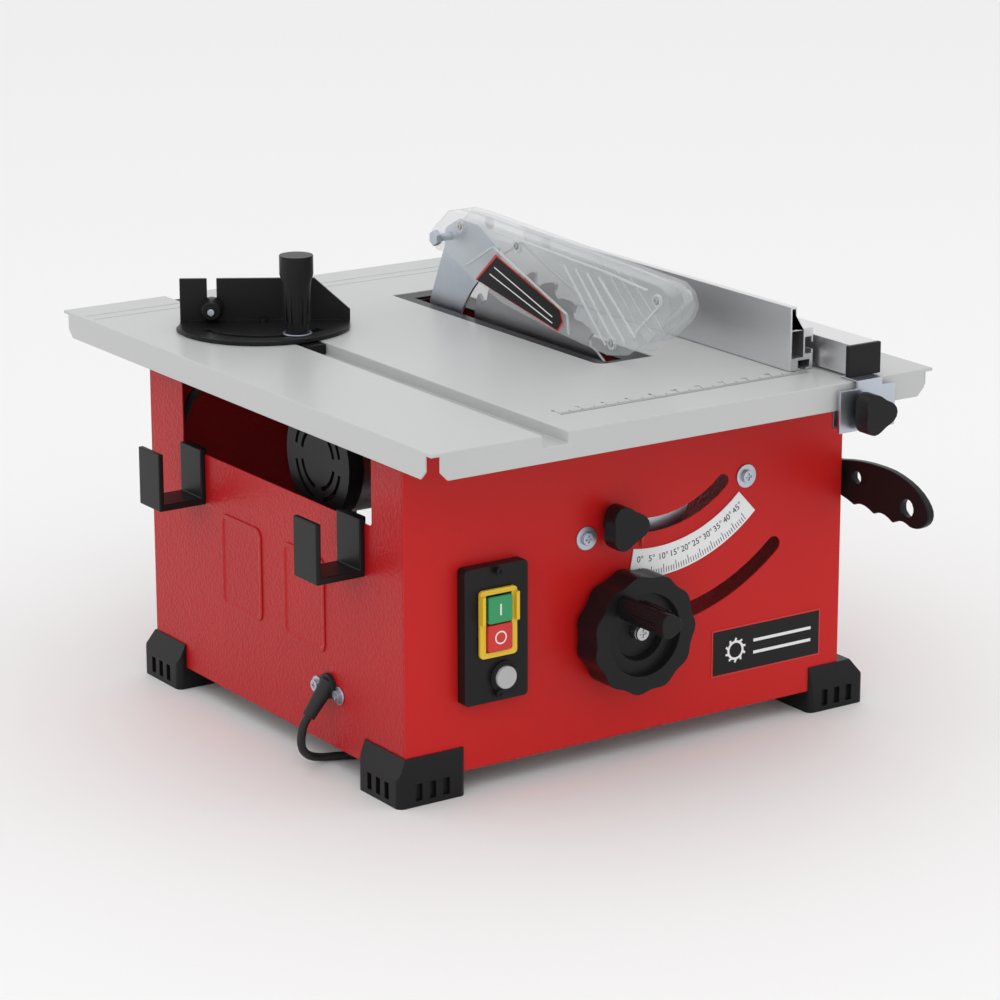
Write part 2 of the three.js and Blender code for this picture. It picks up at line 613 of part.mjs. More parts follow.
function ring(axis, centre, from, to, inner, outer, segments = 24) {
  return cut(rod(axis, centre, from, to, outer, segments), rod(axis, centre, from - 1, to + 1, inner, segments));
}

function motorCap() {
  const centre = [0, motorY, motorZ];
  const shell = rod('x', centre, cap.x0, cap.x1, cap.radius, 32);
  const hollow = rod('x', centre, cap.x0 + cap.wall, cap.x1 + 1, cap.radius - cap.wall, 32);
  const boss = ring('x', centre, cap.x0 + cap.wall - 0.5, cap.x0 + 11, bearing.outer + gap, bearing.outer + 3);
  const vents = [];
  [21, 29].forEach((r) => {
    for (let i = 0; i < 4; i += 1) {
      const a0 = i * 90 * rad + 0.2;
      const a1 = (i + 1) * 90 * rad - 0.2;
      const s = new THREE.Shape();
      s.absarc(motorY, motorZ, r + 1.6, a0, a1, false);
      s.absarc(motorY, motorZ, r - 1.6, a1, a0, true);
      vents.push(slab(s, 'x', cap.x0 - 1, cap.x0 + cap.wall + 1, 4));
    }
  });
  return cut(join(cut(shell, hollow), boss), ...vents);
}

const gearX = { from: -32, to: -22 };
const gearRadius = 32.4;
const pinionRadius = 7.2;
const gearboxEnd = 28.2;

function gearOutline(y, z, radius, teeth) {
  return lobed(y, z, radius, radius - 1.6, teeth, 2);
}

function armature() {
  const centre = [0, motorY, motorZ];
  const body = turned('x', centre, [
    [cap.x0 + cap.wall + 1, 4], [-156, 4], [-156, 14], [-146, 14], [-146, 9], [-138, 9], [-138, 22.5],
    [-77, 22.5], [-77, 9], [-70, 9], [-70, 4], [gearX.to - 1, 4],
  ], 20);
  const fanDisc = rod('x', centre, -66, -63, 33, 24);
  const blades = [];
  for (let i = 0; i < 8; i += 1) {
    const geometry = new THREE.BoxGeometry(8, 1.6, 20);
    geometry.translate(0, 0, 22);
    geometry.rotateX((i / 8) * Math.PI * 2);
    geometry.translate(-60.5, motorY, motorZ);
    blades.push(solid(geometry));
  }
  const pinion = slab(gearOutline(motorY, motorZ, pinionRadius, 9), 'x', gearX.from, gearX.to);
  return join(body, fanDisc, ...blades, pinion);
}

function gearbox() {
  const wall = 3;
  const x0 = carriage.x1 + gap;
  const around = (grow) => join(
    rod('x', [0, motorY, motorZ], x0 - (grow < wall ? 1 : 0), gearboxEnd - (grow < wall ? wall : 0), 14 + grow, 24),
    rod('x', [0, arborY, arborZ], x0 - (grow < wall ? 1 : 0), gearboxEnd - (grow < wall ? wall : 0),
      gearRadius + 1.5 + grow, 32),
    slab(polygon([
      [motorY, motorZ + 14 + grow - 1], [motorY, motorZ - 14 - grow + 1],
      [arborY, arborZ - gearRadius - grow], [arborY, arborZ + gearRadius + grow],
    ]), 'x', x0 - (grow < wall ? 1 : 0), gearboxEnd - (grow < wall ? wall : 0)),
  );
  const nose = rod('x', [0, arborY, arborZ], gearboxEnd - wall - 1, gearboxEnd + 1, boreRadius + 1.2, 20);
  return cut(around(wall), around(0), nose);
}

const centreMotor = [0, motorY, motorZ];
const centreArbor = [0, arborY, arborZ];
add('carriage', carriagePlate(), 'castMetal');
add('motor_housing', ring('x', centreMotor, motorEnd, carriage.x0 - gap, motorRadius - motorWall, motorRadius, 32),
  'aluminium');
add('motor_end_cap', motorCap(), 'blackPlastic');
add('motor_stator', ring('x', centreMotor, -140, -75, 24, motorRadius - motorWall - gap, 28), 'copper');
add('armature', armature(), 'bareSteel');
add('gearbox_housing', gearbox(), 'castMetal');
add('motor_bearing', ring('x', centreMotor, cap.x0 + cap.wall + gap, cap.x0 + 10, bearing.inner, bearing.outer, 20),
  'bareSteel');
add('arbor_bearing', ring('x', centreArbor, gearboxEnd - 12, gearboxEnd - 3 - gap, boreRadius + running,
  gearRadius + 1.5 - gap, 24), 'bareSteel');

// ---- blade, arbor, lower cover ------------------------------------------------------------------
const flange = { radius: 20, sheet: 4 };
const bladeLeft = bladeX - bladeSheet / 2;
const bladeRight = bladeX + bladeSheet / 2;
const nutStart = bladeRight + gap + flange.sheet + gap;

function sawBlade() {
  const points = [];
  const step = (Math.PI * 2) / bladeTeeth;
  const gullet = bladeRadius - 9;
  for (let i = 0; i < bladeTeeth; i += 1) {
    const a = i * step;
    [[0, bladeRadius], [0.1, gullet + 2], [0.28, gullet], [0.5, gullet + 4], [0.86, bladeRadius - 0.8]]
      .forEach(([f, r]) => points.push([arborY + r * Math.cos(a + f * step), arborZ + r * Math.sin(a + f * step)]));
  }
  return cut(slab(polygon(points), 'x', bladeLeft, bladeRight),
    rod('x', centreArbor, bladeLeft - 1, bladeRight + 1, boreRadius, 24));
}

function hexNut() {
  const s = polygon(Array.from({ length: 6 }, (_, i) => [
    arborY + 13 * Math.cos(i * 60 * rad), arborZ + 13 * Math.sin(i * 60 * rad)]));
  return cut(slab(s, 'x', nutStart, nutStart + 8),
    rod('x', centreArbor, nutStart - 1, nutStart + 9, boreRadius, 20));
}

add('saw_blade', sawBlade(), 'bareSteel');
add('arbor', join(
  rod('x', centreArbor, gearX.from - 3, nutStart + 10, boreRadius - gap, 20),
  rod('x', centreArbor, bladeLeft - gap - flange.sheet, bladeLeft - gap, flange.radius, 24),
  slab(gearOutline(arborY, arborZ, gearRadius, 40), 'x', gearX.from, gearX.to),
), 'bareSteel');
add('blade_flange', ring('x', centreArbor, bladeRight + gap, bladeRight + gap + flange.sheet, boreRadius,
  flange.radius), 'zincSteel');
add('arbor_nut', hexNut(), 'zincSteel');

const cover = { left: gearboxEnd + gap, right: 46, wall: 1.5, radius: bladeRadius + 4 };
const chute = { y0: 50, y1: 128, z0: top - 148, z1: top - 108 };

function lowerCover() {
  const below = (piece, z) => cut(piece, block(-10, 90, -200, 200, z, top + 120));
  const shell = below(rod('x', centreArbor, cover.left, cover.right, cover.radius, 40), arborZ - 2);
  const duct = block(cover.left, cover.right, chute.y0, chute.y1, chute.z0, chute.z1);
  const tab = block(cover.left, cover.left + cover.wall, arborY - 34, arborY + 34, arborZ - 4, arborZ + 12);
  const hollow = rod('x', centreArbor, cover.left + cover.wall, cover.right - cover.wall,
    cover.radius - cover.wall, 40);
  const ductHollow = block(cover.left + cover.wall, cover.right - cover.wall, chute.y0 - 20, chute.y1 + 1,
    chute.z0 + cover.wall, chute.z1 - cover.wall);
  const access = rod('x', centreArbor, cover.right - cover.wall - 1, cover.right + 1, 74, 32);
  const arborHole = rod('x', centreArbor, cover.left - 1, cover.left + cover.wall + 1, flange.radius + 2, 24);
  return cut(join(shell, duct, tab), hollow, ductHollow, access, arborHole);
}

add('lower_blade_cover', lowerCover(), 'blackPlastic');

// ---- riving knife and guard ---------------------------------------------------------------------
const guard = { half: 12, wall: 1.8, pivotY: 98, pivotZ: top + 54, lobe: 9.5 };

const knifeBoss = 8;

function rivingKnife() {
  const s = new THREE.Shape();
  s.moveTo(126, knife.clampZ0 - 1);
  s.lineTo(127, top);
  s.lineTo(guard.pivotY + knifeBoss, guard.pivotZ - 8);
  s.absarc(guard.pivotY, guard.pivotZ, knifeBoss, -0.3, Math.PI / 3, false);
  s.lineTo(86, top + 69);
  s.lineTo(62, top + 68);
  s.lineTo(34, top + 56);
  s.absarc(arborY, arborZ, knife.radius, 64 * rad, -2.4 * rad, true);
  return cut(slab(s, 'x', knifeLeft, knifeLeft + knife.sheet, 14),
    rod('x', [0, guard.pivotY, guard.pivotZ], knifeLeft - 1, knifeLeft + 4, pinRadius + running, 16));
}

function knifeClamp() {
  const x0 = knifeLeft + knife.sheet + gap;
  const plate = block(x0, x0 + 3.5, knife.clampY0, knife.clampY1, knife.clampZ0, knife.clampZ1);
  const bolts = [knife.clampY0 + 6, knife.clampY1 - 6].map((y) =>
    rod('x', [0, y, (knife.clampZ0 + knife.clampZ1) / 2], x0 + 3, x0 + 7.5, 4.5, 6));
  return join(plate, ...bolts);
}

add('riving_knife', rivingKnife(), 'zincSteel');
add('knife_clamp', knifeClamp(), 'zincSteel');

// Side outline of the guard in y-z; inset draws the hollow, which is open below and behind.
function guardOutline(inset) {
  const { pivotY, pivotZ, lobe } = guard;
  const open = inset > 0 ? 8 : 0;
  const s = new THREE.Shape();
  s.moveTo(-118 + inset * 1.5, top + 6.8 - open);
  s.lineTo(-56, top + 11.5 - open);
  s.lineTo(12, top + 19.5 - open);
  s.lineTo(49, top + 30.5 - open);
  s.lineTo(pivotY - lobe, pivotZ - 10 - open);
  if (inset > 0) {
    s.lineTo(pivotY + lobe + open, pivotZ - lobe - open);
    s.lineTo(pivotY + lobe + open, top + 77 - inset);
  } else {
    s.absarc(pivotY, pivotZ, lobe, -Math.PI * 0.6, Math.PI * 0.25, false);
  }
  s.lineTo(84, top + 77 - inset);
  s.lineTo(62, top + 77.5 - inset);
  s.lineTo(-30, top + 73.5 - inset);
  s.lineTo(-178 + inset * 0.5, top + 67.5 - inset);
  s.lineTo(-189 + inset, top + 62 - inset * 0.5);
  s.lineTo(-193 + inset, top + 53);
  s.lineTo(-188 + inset, top + 43.5);
  s.lineTo(-169 + inset, top + 28);
  s.lineTo(-142 + inset * 1.2, top + 11.5 - open * 0.7);
  return s;
}

function guardShell(side) {
  const mid = bladeX + side * 0.2;
  const outside = bladeX + side * guard.half;
  const [x0, x1] = side < 0 ? [outside, mid] : [mid, outside];
  const [h0, h1] = side < 0 ? [outside + guard.wall, mid + 1] : [mid - 1, outside - guard.wall];
  const shell = slab(guardOutline(0), 'x', x0, x1, 8);
  const hollow = slab(guardOutline(guard.wall), 'x', h0, h1, 8);
  const hole = rod('x', [0, guard.pivotY, guard.pivotZ], x0 - 1, x1 + 1, pinRadius + running, 16);
  return cut(shell, hollow, hole);
}

const guardLeft = bladeX - guard.half;
const guardRight = bladeX + guard.half;
add('guard_bolt', join(
  rod('x', [0, guard.pivotY, guard.pivotZ], guardLeft - 3, guardRight + 4, pinRadius, 16),
  rod('x', [0, guard.pivotY, guard.pivotZ], guardLeft - 4.5, guardLeft - gap, 6, 6),
  rod('x', [0, guard.pivotY, guard.pivotZ], guardRight + gap, guardRight + 5.5, 7, 12),
), 'zincSteel');
add('guard_left_shell', guardShell(-1), 'clearPlastic');
add('guard_right_shell', guardShell(1), 'clearPlastic');

// ---- rip fence ----------------------------------------------------------------------------------
const fenceMiddle = fenceX + fenceTubeWidth / 2;
const tubeZ0 = top + fenceTubeLift;
const tubeZ1 = tubeZ0 + fenceTubeHeight;
const tubeFront = -246;
const tubeWall = 1.6;
const fenceKnob = { x: 142, z: top - 19.5, radius: 15.5 };
const clampSheet = 2.5;
const clampBack = -halfDepth - 3.5;
const fenceNeck = [fenceX - 4, fenceX + fenceTubeWidth - 6];

// Square tube with a hook at its rear end that catches behind the table.
function fenceTube() {
  const outer = block(fenceX, fenceX + fenceTubeWidth, tubeFront, -tubeFront, tubeZ0, tubeZ1);
  const inner = block(fenceX + tubeWall, fenceX + fenceTubeWidth - tubeWall, tubeFront - 1, -tubeFront + 1,
    tubeZ0 + tubeWall, tubeZ1 - tubeWall);
  const [x0, x1] = fenceNeck;
  const tongue = block(x0, x1, halfDepth - 14, halfDepth + gap + clampSheet, top + gap, tubeZ0 + 0.5);
  const hookPlate = block(x0, x1, halfDepth + gap, halfDepth + gap + clampSheet, top - 17, tubeZ0);
  return join(cut(outer, inner), tongue, hookPlate);
}

function fenceProfile() {
  const x = profileLeft;
  const z = top + 0.4;
  const h = top + profileHeight;
  const wall = 1.5;
  const foot = 30;
  const narrow = 5.4;
  const outline = polygon([
    [x, z], [x + 9, z], [x + 9, z + wall], [x + 7, z + wall], [x + 7, z + 7], [x + 17, z + 7],
    [x + 17, z + wall], [x + 14, z + wall], [x + 14, z], [x + profileFoot, z],
    [x + profileFoot, z + 14], [x + profileFoot - wall, z + 14], [x + profileFoot - wall, z + 11],
    [x + profileFoot - 7, z + 11], [x + profileFoot - 7, z + 23], [x + profileFoot - wall, z + 23],
    [x + profileFoot - wall, z + 19], [x + profileFoot, z + 19], [x + profileFoot, top + foot],
    [x + narrow, top + foot], [x + narrow, h], [x, h],
  ]);
  outline.holes.push(
    new THREE.Path([[x + wall, top + foot], [x + wall, h - wall], [x + narrow - wall, h - wall],
      [x + narrow - wall, top + foot]].map(([a, b]) => new THREE.Vector2(a, b))),
    new THREE.Path([[x + wall, z + 9], [x + wall, top + foot - wall], [x + profileFoot - 7 - wall, top + foot - wall],
      [x + profileFoot - 7 - wall, z + 9]].map(([a, b]) => new THREE.Vector2(a, b))),
  );
  return slab(outline, 'y', profileFront, profileFront + profileLength);
}

function fenceClamp() {
  const front = clampBack - clampSheet;
  const neck = fenceNeck;
  const jawTop = top - skirtDepth - 2;
  const low = top - 34;
  const face = slab(polygon([
    [121, low], [170, low], [170, top - 4], [neck[1], top - 4], [neck[1], tubeZ0 - gap], [neck[0], tubeZ0 - gap],
    [neck[0], top - 4], [121, top - 4],
  ]), 'y', front, clampBack);
  const tongue = block(neck[0], neck[1], front + 0.5, -halfDepth + 13, top + gap, tubeZ0 - gap);
  const floor = block(126, 158, front + 0.5, -halfDepth + 9, low, low + 2.2);
  const jaw = block(126, 158, -halfDepth + 6.6, -halfDepth + 9, low, jawTop + 9);
  const studHole = rod('y', [fenceKnob.x, 0, fenceKnob.z], front - 1, clampBack + 1, pinRadius + running, 12);
  return cut(join(face, tongue, floor, jaw), studHole);
}

add('fence_tube', fenceTube(), 'aluminium');
add('fence_profile', fenceProfile(), 'aluminium');
add('fence_clamp', fenceClamp(), 'zincSteel');
add('fence_knob', handKnob(fenceKnob.x, fenceKnob.z, clampBack - clampSheet - 18, clampBack - clampSheet - 5,
  clampBack - clampSheet - gap, -halfDepth - 0.5, fenceKnob.radius), 'blackPlastic');

// ---- mitre gauge --------------------------------------------------------------------------------
const gauge = {
  pivotY: 122, radius: 65, turn: -32.4, sheet: 3, height: 34.6, left: -61.3, right: 63.3, handleAt: 48,
  handleTop: 61.5, notch: [20, 27], nutZ: 13,
};
const barTop = top - 0.6;
const barLow = top - trough.depth + trough.wall + gap;

function mitreBar() {
  const half = slotWidth / 2 - 0.8;
  const body = block(slotX - half, slotX + half, barFront, barFront + barLength, barLow, barTop);
  const pin = rod('z', [slotX, gauge.pivotY, 0], barTop - 1, top + gauge.sheet + 3, 3, 14);
  const stud = rod('z', [slotX, gauge.pivotY - gauge.handleAt, 0], barTop - 1, top + gauge.sheet + 12, 3, 14);
  return join(body, pin, stud);
}

// Drawn square to the bar with its pivot at the origin, then turned to the set angle.
function mitreHead() {
  const z0 = gap;
  const { left, right, notch, height } = gauge;
  const base = new THREE.Shape();
  base.moveTo(left, 8);
  base.lineTo(left, -6);
  base.absarc(0, 0, gauge.radius, Math.PI + 0.25, Math.PI * 2 - 0.25, false);
  base.lineTo(right, -6);
  base.lineTo(right, 8);
  const slot = new THREE.Shape();
  const a0 = -Math.PI / 2 - 62 * rad;
  const a1 = -Math.PI / 2 + 62 * rad;
  slot.absarc(0, 0, gauge.handleAt + 3.6, a0, a1, false);
  slot.absarc(0, 0, gauge.handleAt - 3.6, a1, a0, true);
  const plate = slab(polygon([
    [left, z0], [right, z0], [right, 11], [right - 26, height],
    [left + notch[1], height], [left + notch[1], 8], [left + notch[0], 8],
    [left + notch[0], height], [left, height],
  ]), 'y', 5, 8);
  const head = cut(join(slab(base, 'z', z0, z0 + gauge.sheet, 24), plate), slab(slot, 'z', -1, 10, 24),
    rod('z', [0, 0, 0], -1, 10, 3 + running, 14));
  return head.rotate([0, 0, gauge.turn]).translate([slotX, gauge.pivotY, top]);
}

function mitreHandle() {
  const base = top + gap + gauge.sheet + gap;
  const centre = [slotX, gauge.pivotY - gauge.handleAt, 0];
  const end = top + gauge.handleTop;
  const grip = turned('z', centre, [[base, 9], [base + 1.6, 9], [base + 1.6, 8], [end - 20, 10.5],
    [end - 14, 12.3], [end, 12.3]], 18);
  return cut(grip, rod('z', centre, base - 1, top + gauge.sheet + 14, 3 + running, 12));
}

// Knurled nut in front of the upright plate's notch, with its bolt and the washer behind.
function mitreThumbNut() {
  const { left, notch, nutZ } = gauge;
  const axisX = left + (notch[0] + notch[1]) / 2;
  const nut = turned('y', [axisX, 0, nutZ], [[-9, 6.5], [-3.5, 8.5], [5 - gap, 8.5]], 16);
  const bolt = rod('y', [axisX, 0, nutZ], -12, 12, 2.5, 10);
  const washer = rod('y', [axisX, 0, nutZ], 8 + gap, 10, 6, 14);
  return join(nut, bolt, washer).rotate([0, 0, gauge.turn]).translate([slotX, gauge.pivotY, top]);
}

add('miter_bar', mitreBar(), 'blackPlastic');
add('miter_head', mitreHead(), 'blackPlastic');
add('miter_handle', mitreHandle(), 'blackPlastic');
add('miter_thumb_nut', mitreThumbNut(), 'blackPlastic');

// ---- push stick and its holder ------------------------------------------------------------------
const stick = { x0: halfCabinet + 3.3, sheet: 6, tail: 70, z0: top - 106, z1: top - 84 };
const holder = { y0: -128, y1: 20, clear: 0.6, wall: 1.8 };

function pushStick() {
  const s = new THREE.Shape();
  s.moveTo(-150, stick.z1);
  s.lineTo(-177, top - 80.5);
  s.quadraticCurveTo(-205, top - 74.5, -233, top - 76.5);
  s.quadraticCurveTo(-258, top - 80, -269, top - 90);
  s.quadraticCurveTo(-279, top - 99, -272, top - 107);
  s.quadraticCurveTo(-264, top - 114, -254.5, top - 112.6);
  [-236, -215, -193].forEach((y, i) => s.quadraticCurveTo(y - 9, top - 108 + i * 1.2, y, top - 114 + i * 1.6));
  s.quadraticCurveTo(-175, top - 104, -150, stick.z0);
  s.lineTo(stick.tail - 14, stick.z0);
  s.lineTo(stick.tail, stick.z0 + 8);
  s.lineTo(stick.tail - 10, stick.z0 + 12);
  s.lineTo(stick.tail - 4, stick.z1);
  const body = slab(s, 'x', stick.x0, stick.x0 + stick.sheet, 5);
  const holes = [[-195.5, -89.8, 4.6], [-251.5, -99.6, 6.5]].map(([y, z, r]) =>
    rod('x', [0, y, top + z], stick.x0 - 1, stick.x0 + stick.sheet + 1, r, 14));
  return cut(body, ...holes);
}

function stickHolder() {
  const x0 = halfCabinet + gap;
  const outer = stick.x0 + stick.sheet + holder.clear;
  const low = stick.z0 - holder.clear;
  const high = stick.z1 + holder.clear;
  const { wall, y0, y1 } = holder;
  return slab(polygon([
    [x0, low - wall], [outer + wall, low - wall], [outer + wall, low + 7], [outer, low + 7], [outer, low],
    [x0 + wall, low], [x0 + wall, high], [outer, high], [outer, high - 7], [outer + wall, high - 7],
    [outer + wall, high + wall], [x0, high + wall],
  ]), 'y', y0, y1);
}

add('push_stick', pushStick(), 'blackPlastic');
add('push_stick_holder', stickHolder(), 'blackPlastic');

// ---- wiring inside the cabinet ------------------------------------------------------------------
// A tube of the given radius through hand-chosen points.
function tubeThrough(points, radius, sides, steps) {
  const s = new THREE.Shape();
  for (let i = 0; i <= sides; i += 1) {
    const a = (i / sides) * Math.PI * 2;
    const [x, y] = [radius * Math.cos(a), radius * Math.sin(a)];
    if (i === 0) s.moveTo(x, y);
    else if (i < sides) s.lineTo(x, y);
  }
  const path = new THREE.CatmullRomCurve3(points.map((p) => new THREE.Vector3(...p)), false, 'centripetal');
  return solid(new THREE.ExtrudeGeometry(s, { steps, extrudePath: path, bevelEnabled: false }));
}

const leadPoints = [
  [-168, 58, top - 12], [-171, 90, top - 24], [-174, 122, top - 45], [-176, 138, top - 80],
  [-175, 138, top - 140], [-170, 110, top - 195], [-165, 40, top - 224], [-158, -60, top - 224],
  [-142, -118, top - 205], [-126, -136, top - 178], [switchX, frontInner + gap + 32 + 4, top - 170],
  [switchX, frontInner + gap + 32 + gap, top - 170],
];
add('motor_lead', tubeThrough(leadPoints, 3, 8, 40), 'blackRubber');

// ---- mains cord: sleeve, laid stretch, coil and plug --------------------------------------------
const sleeve = { slope: 52 * rad, length: 25, root: 6.2, tip: 4.6, flange: 9 };
const sleeveStart = [-halfCabinet - gap - 2.2, cordExit.y, cordExit.z];
const sleeveAxis = [-Math.cos(sleeve.slope), 0, -Math.sin(sleeve.slope)];
const sleeveEnd = sleeveStart.map((v, i) => v + sleeveAxis[i] * sleeve.length);

function cordSleeve() {
  const cone = new THREE.LatheGeometry([
    new THREE.Vector2(0, -3), new THREE.Vector2(sleeve.root, -3), new THREE.Vector2(sleeve.tip, sleeve.length),
    new THREE.Vector2(0, sleeve.length),
  ], 14);
  cone.applyQuaternion(new THREE.Quaternion().setFromUnitVectors(
    new THREE.Vector3(0, 1, 0), new THREE.Vector3(...sleeveAxis)));
  cone.translate(...sleeveStart);
  const beyond = block(-halfCabinet - gap, 0, cordExit.y - 30, cordExit.y + 30, cordExit.z - 40, cordExit.z + 40);
  const base = rod('x', [0, cordExit.y, cordExit.z], -halfCabinet - gap - 3, -halfCabinet - gap, sleeve.flange, 18);
  return join(cut(solid(cone), beyond), base);
}

const floorZ = cordRadius + 0.2;
const coilCentre = [0, cabinetRear + 70];
const coilInner = coilMiddle - coilAcross * cordRadius;
const coilOuter = coilMiddle + coilAcross * cordRadius;
const cordPoints = [
  ...[gap, 3, 6].map((step) => sleeveEnd.map((v, i) => v + sleeveAxis[i] * step)),
  [-209.3, -85.5, 26.5], [-207, -82, 16.5], [-199, -77, 8], [-187, -74, floorZ + 0.3],
  [-172, -78, floorZ], [-155, -88, floorZ], [-136, -98, floorZ], [-113, -84, floorZ], [-95, -60, floorZ],
  [-82, -26, floorZ], [-73, 14, floorZ], [-66, 56, floorZ], [-60, 98, floorZ], [-55, 140, floorZ],
  [-51.5, 180, floorZ], [-coilOuter - cordRadius - 0.4, coilCentre[1], floorZ],
];

const plug = { length: 38, width: 34, height: 20, tail: 22, pinSpacing: 19, pinLength: 19 };

// The plug lies beside the coil with its tail against the outermost turn and its pins pointing away.
function cordPlug() {
  const tailStart = coilCentre[0] + coilOuter + gap;
  const x0 = tailStart + plug.tail;
  const [, y] = coilCentre;
  const body = slab(roundedRect(y - plug.width / 2, y + plug.width / 2, 0.4, plug.height, 6), 'x',
    x0, x0 + plug.length, 3);
  const pins = [-plug.pinSpacing / 2, plug.pinSpacing / 2].map((offset) =>
    rod('x', [0, y + offset, plug.height / 2], x0 + plug.length - 0.5, x0 + plug.length + plug.pinLength, 2.4, 10));
  const tail = turned('x', [0, y, plug.height / 2],
    [[tailStart, cordRadius + 0.8], [x0 + 0.5, cordRadius + 3]], 12);
  return join(body, ...pins, tail);
}

function coilRing() {
  const lift = 0.2;
  return turnedRing(coilCentre, coilInner, coilOuter, lift, lift + coilLayers * cordRadius * 2);
}

function turnedRing([x, y], inner, outer, z0, z1) {
  const profile = [[inner, z0], [outer, z0], [outer, z1], [inner, z1], [inner, z0]];
  const geometry = new THREE.LatheGeometry(profile.map(([r, z]) => new THREE.Vector2(r, z)), 32);
  geometry.rotateX(Math.PI / 2);
  geometry.translate(x, y, 0);
  return solid(geometry);
}

add('cord_sleeve', cordSleeve(), 'blackRubber', cordGroup);
add('mains_cord', tubeThrough(cordPoints, cordRadius, 8, 50), 'blackRubber', cordGroup);
add('cord_coil', coilRing(), 'blackRubber', cordGroup);
add('plug', cordPlug(), 'blackRubber', cordGroup);

// ---- origin: on the floor, under the middle of the machine's own box ------------------------------
const box = new THREE.Box3().setFromObject(machine);
saw.position.set(-(box.min.x + box.max.x) / 2, -(box.min.y + box.max.y) / 2, 0);
saw.updateMatrixWorld(true);

export default saw;
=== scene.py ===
import json
import math
import bpy
from mathutils import Euler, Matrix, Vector

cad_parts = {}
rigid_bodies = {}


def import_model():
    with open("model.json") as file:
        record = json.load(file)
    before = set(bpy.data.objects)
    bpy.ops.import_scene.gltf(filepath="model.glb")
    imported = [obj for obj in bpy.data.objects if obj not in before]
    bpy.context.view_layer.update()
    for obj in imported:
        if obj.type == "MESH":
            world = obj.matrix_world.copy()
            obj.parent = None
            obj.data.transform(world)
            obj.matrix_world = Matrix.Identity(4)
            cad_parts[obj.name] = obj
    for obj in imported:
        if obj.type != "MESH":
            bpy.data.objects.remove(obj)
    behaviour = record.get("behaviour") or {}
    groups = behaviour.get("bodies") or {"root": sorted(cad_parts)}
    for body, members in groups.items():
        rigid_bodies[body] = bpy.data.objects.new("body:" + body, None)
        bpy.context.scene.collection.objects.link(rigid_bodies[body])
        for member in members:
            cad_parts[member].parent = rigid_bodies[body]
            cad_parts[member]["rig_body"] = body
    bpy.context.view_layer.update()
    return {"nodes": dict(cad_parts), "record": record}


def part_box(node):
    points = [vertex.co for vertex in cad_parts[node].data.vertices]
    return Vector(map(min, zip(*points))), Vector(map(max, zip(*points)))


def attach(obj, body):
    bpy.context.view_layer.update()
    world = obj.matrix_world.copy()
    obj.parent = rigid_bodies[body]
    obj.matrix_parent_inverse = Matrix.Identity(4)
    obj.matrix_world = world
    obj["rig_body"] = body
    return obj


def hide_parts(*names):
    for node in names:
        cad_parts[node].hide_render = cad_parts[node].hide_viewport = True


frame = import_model()
tableLow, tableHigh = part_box("table_top")
middleX = (tableLow.x + tableHigh.x) / 2
middleY = (tableLow.y + tableHigh.y) / 2
tableZ = tableHigh.z


def spot(x, y, rise):  # millimetres from the table's middle, rise counted from its top face
    return Vector((middleX + x / 1000, middleY + y / 1000, tableZ + rise / 1000))


def floorSpot(x, y, z):  # the same, with the height counted from the floor
    return Vector((middleX + x / 1000, middleY + y / 1000, z / 1000))


# Camera
cameraPlace = {"position": (-1410.6, -2116.2, 862.7), "tilt": 74.201, "turn": -33.953, "roll": -0.106,
               "lens": 130.03, "film": 36}


def makeCamera(s):
    data = bpy.data.cameras.new("studioCamera")
    data.lens = s["lens"]
    data.sensor_width = s["film"]
    data.clip_end = 20
    camera = bpy.data.objects.new("studioCamera", data)
    bpy.context.scene.collection.objects.link(camera)
    camera.rotation_mode = "QUATERNION"
    turned = Euler((math.radians(s["tilt"]), 0, math.radians(s["turn"])), "XYZ").to_matrix()
    rolled = turned @ Euler((0, 0, math.radians(s["roll"])), "XYZ").to_matrix()
    camera.rotation_quaternion = rolled.to_quaternion()
    camera.location = floorSpot(*s["position"])
    bpy.context.scene.camera = camera


makeCamera(cameraPlace)
print("camera placed")


# Making things by hand
def nothingSelected():
    if bpy.context.mode != "OBJECT":
        bpy.ops.object.mode_set(mode="OBJECT")
    bpy.ops.object.select_all(action="DESELECT")


def choose(*pieces):
    nothingSelected()
    for piece in pieces:
        piece.select_set(True)
    bpy.context.view_layer.objects.active = pieces[0]


def settle(piece):  # the place goes into the mesh
    choose(piece)
    bpy.ops.object.transform_apply(location=True, rotation=True, scale=True)


def joined(name, parts):
    choose(*parts)
    if len(parts) > 1:
        bpy.ops.object.join()
    whole = bpy.context.view_layer.objects.active
    whole.name = name
    whole.data.name = name
    return whole


def pick(piece, kind, rule):  # selects the faces or edges that the rule takes, in edit mode
    choose(piece)
    bpy.ops.object.mode_set(mode="EDIT")
    bpy.ops.mesh.select_mode(type=kind)
    bpy.ops.mesh.select_all(action="DESELECT")
    bpy.ops.object.mode_set(mode="OBJECT")
    parts = piece.data.polygons if kind == "FACE" else piece.data.edges
    for part in parts:
        part.select = rule(part)
    bpy.ops.object.mode_set(mode="EDIT")


def finish(piece, body, recipe, stands=()):
    settle(piece)
    piece.data.materials.clear()
    piece.data.materials.append(recipe)
    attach(piece, body)
    if stands:
        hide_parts(*stands)
    return piece


def softEdges(piece, width, segments=2, angle=32, smooth=35):
    choose(piece)
    edge = piece.modifiers.new("edges", "BEVEL")
    edge.width = width / 1000
    edge.segments = segments
    edge.limit_method = "ANGLE"
    edge.angle_limit = math.radians(angle)
    edge.use_clamp_overlap = True
    edge.miter_outer = "MITER_ARC"
    bpy.ops.object.modifier_apply(modifier=edge.name)
    bpy.ops.object.shade_smooth_by_angle(angle=math.radians(smooth))
    even = piece.modifiers.new("even", "WEIGHTED_NORMAL")
    even.keep_sharp = True
    bpy.ops.object.modifier_apply(modifier=even.name)
    return piece


